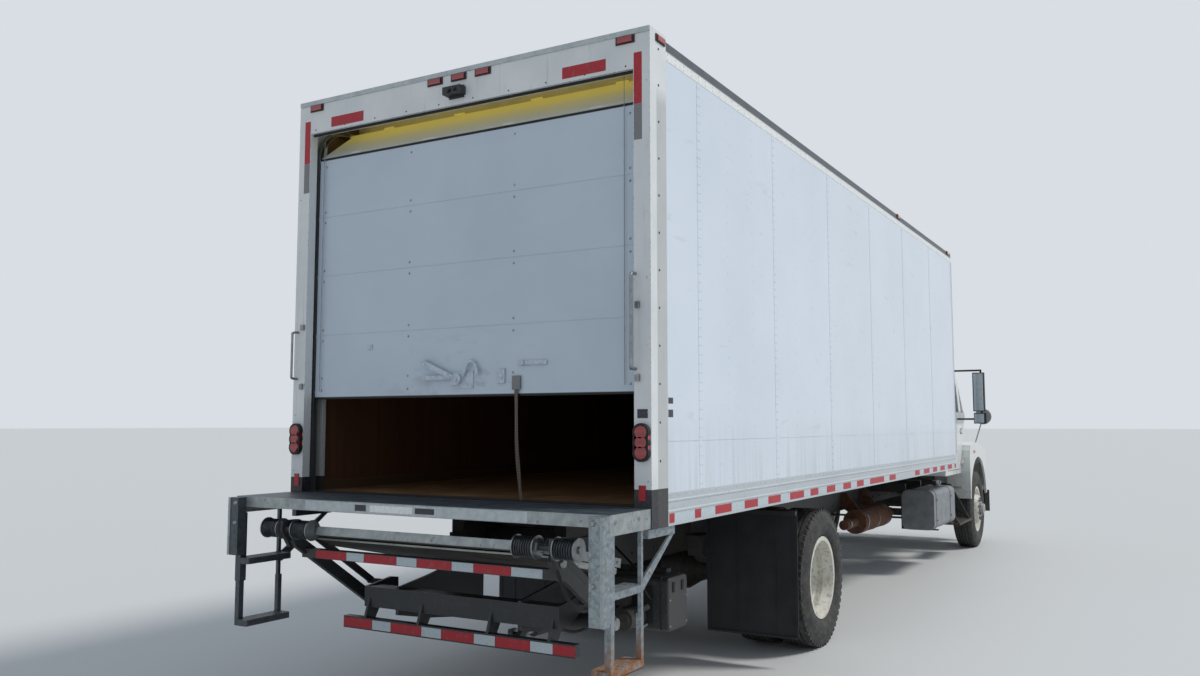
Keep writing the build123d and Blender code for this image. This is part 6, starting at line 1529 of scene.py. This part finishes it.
class TRUCK_OT_stage(bpy.types.Operator):
    """Pale floor, soft light and the photograph's camera"""

    bl_idname = "truck.stage"
    bl_label = "Stage"

    floor_size = 400.0
    sun_from = (0.35, -0.62, 0.80)
    sun_width = 14
    sun_colour = (1.0, 0.97, 0.93)
    camera_place = (-9.8663, -3.6231, 1.6899)
    camera_yaw = 30.184
    camera_pitch = 4.985
    camera_lens = 29.70

    def execute(self, context):
        stage = context.scene.truck_stage
        shape = bmesh.new()
        bmesh.ops.create_grid(shape, x_segments=1, y_segments=1, size=self.floor_size)
        mesh = bpy.data.meshes.new("floor")
        shape.to_mesh(mesh)
        shape.free()
        floor = bpy.data.objects.new("floor", mesh)
        context.scene.collection.objects.link(floor)
        mesh.materials.append(Paint("pale studio floor").finish(stage.floor_colour, 0.9))

        world = bpy.data.worlds.new("soft sky")
        context.scene.world = world
        world.use_nodes = True
        tree = world.node_tree
        tree.nodes.clear()
        path = add(tree, "ShaderNodeLightPath")
        direct = add(tree, "ShaderNodeMath", {"operation": "MAXIMUM"}, {
            0: path.outputs["Is Camera Ray"], 1: path.outputs["Is Transmission Ray"]})
        seen = add(tree, "ShaderNodeMath", {"operation": "MAXIMUM"}, {
            0: direct.outputs[0], 1: path.outputs["Is Glossy Ray"]})
        light = add(tree, "ShaderNodeBackground", inputs={"Color": linear("#DCE6F2"), "Strength": stage.sky_strength})
        back = add(tree, "ShaderNodeBackground", inputs={"Color": linear("#D9DEE4"), "Strength": 1.0})
        mixed = add(tree, "ShaderNodeMixShader", inputs={0: seen.outputs[0], 1: light.outputs[0], 2: back.outputs[0]})
        add(tree, "ShaderNodeOutputWorld", inputs={"Surface": mixed.outputs[0]})

        key = bpy.data.lights.new("key", "SUN")
        key.energy = stage.sun_strength
        key.angle = math.radians(self.sun_width)
        key.color = self.sun_colour
        lamp = bpy.data.objects.new("key", key)
        lamp.rotation_euler = Vector(self.sun_from).to_track_quat("Z", "Y").to_euler()
        context.scene.collection.objects.link(lamp)

        camera = bpy.data.cameras.new("photograph")
        camera.sensor_width = 36.0
        camera.sensor_fit = "HORIZONTAL"
        camera.lens = self.camera_lens
        camera.clip_end = 1000.0
        view = bpy.data.objects.new("photograph", camera)
        yaw, pitch = math.radians(self.camera_yaw), math.radians(self.camera_pitch)
        forward = Vector((math.cos(pitch) * math.cos(yaw), math.cos(pitch) * math.sin(yaw), math.sin(pitch)))
        view.rotation_euler = forward.to_track_quat("-Z", "Y").to_euler()
        view.location = self.camera_place
        context.scene.collection.objects.link(view)
        context.scene.camera = view
        context.scene.view_settings.view_transform = "Standard"
        return {"FINISHED"}


class TRUCK_PT_panel(bpy.types.Panel):
    """Lists the truck's building steps and settings in the sidebar"""

    bl_label = "Box truck"
    bl_idname = "TRUCK_PT_panel"
    bl_space_type = "VIEW_3D"
    bl_region_type = "UI"
    bl_category = "Truck"

    def draw(self, context):
        for step in STEPS:
            self.layout.operator(step.bl_idname)
        for settings in (context.scene.truck_body, context.scene.truck_wheels, context.scene.truck_stage):
            box = self.layout.box()
            for name in settings.__annotations__:
                box.prop(settings, name)


STEPS = (
    TRUCK_OT_finishes,
    TRUCK_OT_wall_seams,
    TRUCK_OT_rail_tape,
    TRUCK_OT_rear_frame,
    TRUCK_OT_door_details,
    TRUCK_OT_strap,
    TRUCK_OT_tyres,
    TRUCK_OT_wheel_nuts,
    TRUCK_OT_lift_tape,
    TRUCK_OT_lift_hardware,
    TRUCK_OT_platform,
    TRUCK_OT_pump,
    TRUCK_OT_underbody,
    TRUCK_OT_body_front,
    TRUCK_OT_cab,
    TRUCK_OT_stage,
)
CLASSES = (TruckBodySettings, TruckWheelSettings, TruckStageSettings) + STEPS + (TRUCK_PT_panel,)


def register():
    for each in CLASSES:
        bpy.utils.register_class(each)
    bpy.types.Scene.truck_body = bpy.props.PointerProperty(type=TruckBodySettings)
    bpy.types.Scene.truck_wheels = bpy.props.PointerProperty(type=TruckWheelSettings)
    bpy.types.Scene.truck_stage = bpy.props.PointerProperty(type=TruckStageSettings)


def unregister():
    del bpy.types.Scene.truck_stage
    del bpy.types.Scene.truck_wheels
    del bpy.types.Scene.truck_body
    for each in reversed(CLASSES):
        bpy.utils.unregister_class(each)


def main():
    """Builds every piece in order."""
    register()
    for step in STEPS:
        group, name = step.bl_idname.split(".")
        getattr(getattr(bpy.ops, group), name)()
    bpy.context.view_layer.update()


if __name__ == "__main__":
    main()
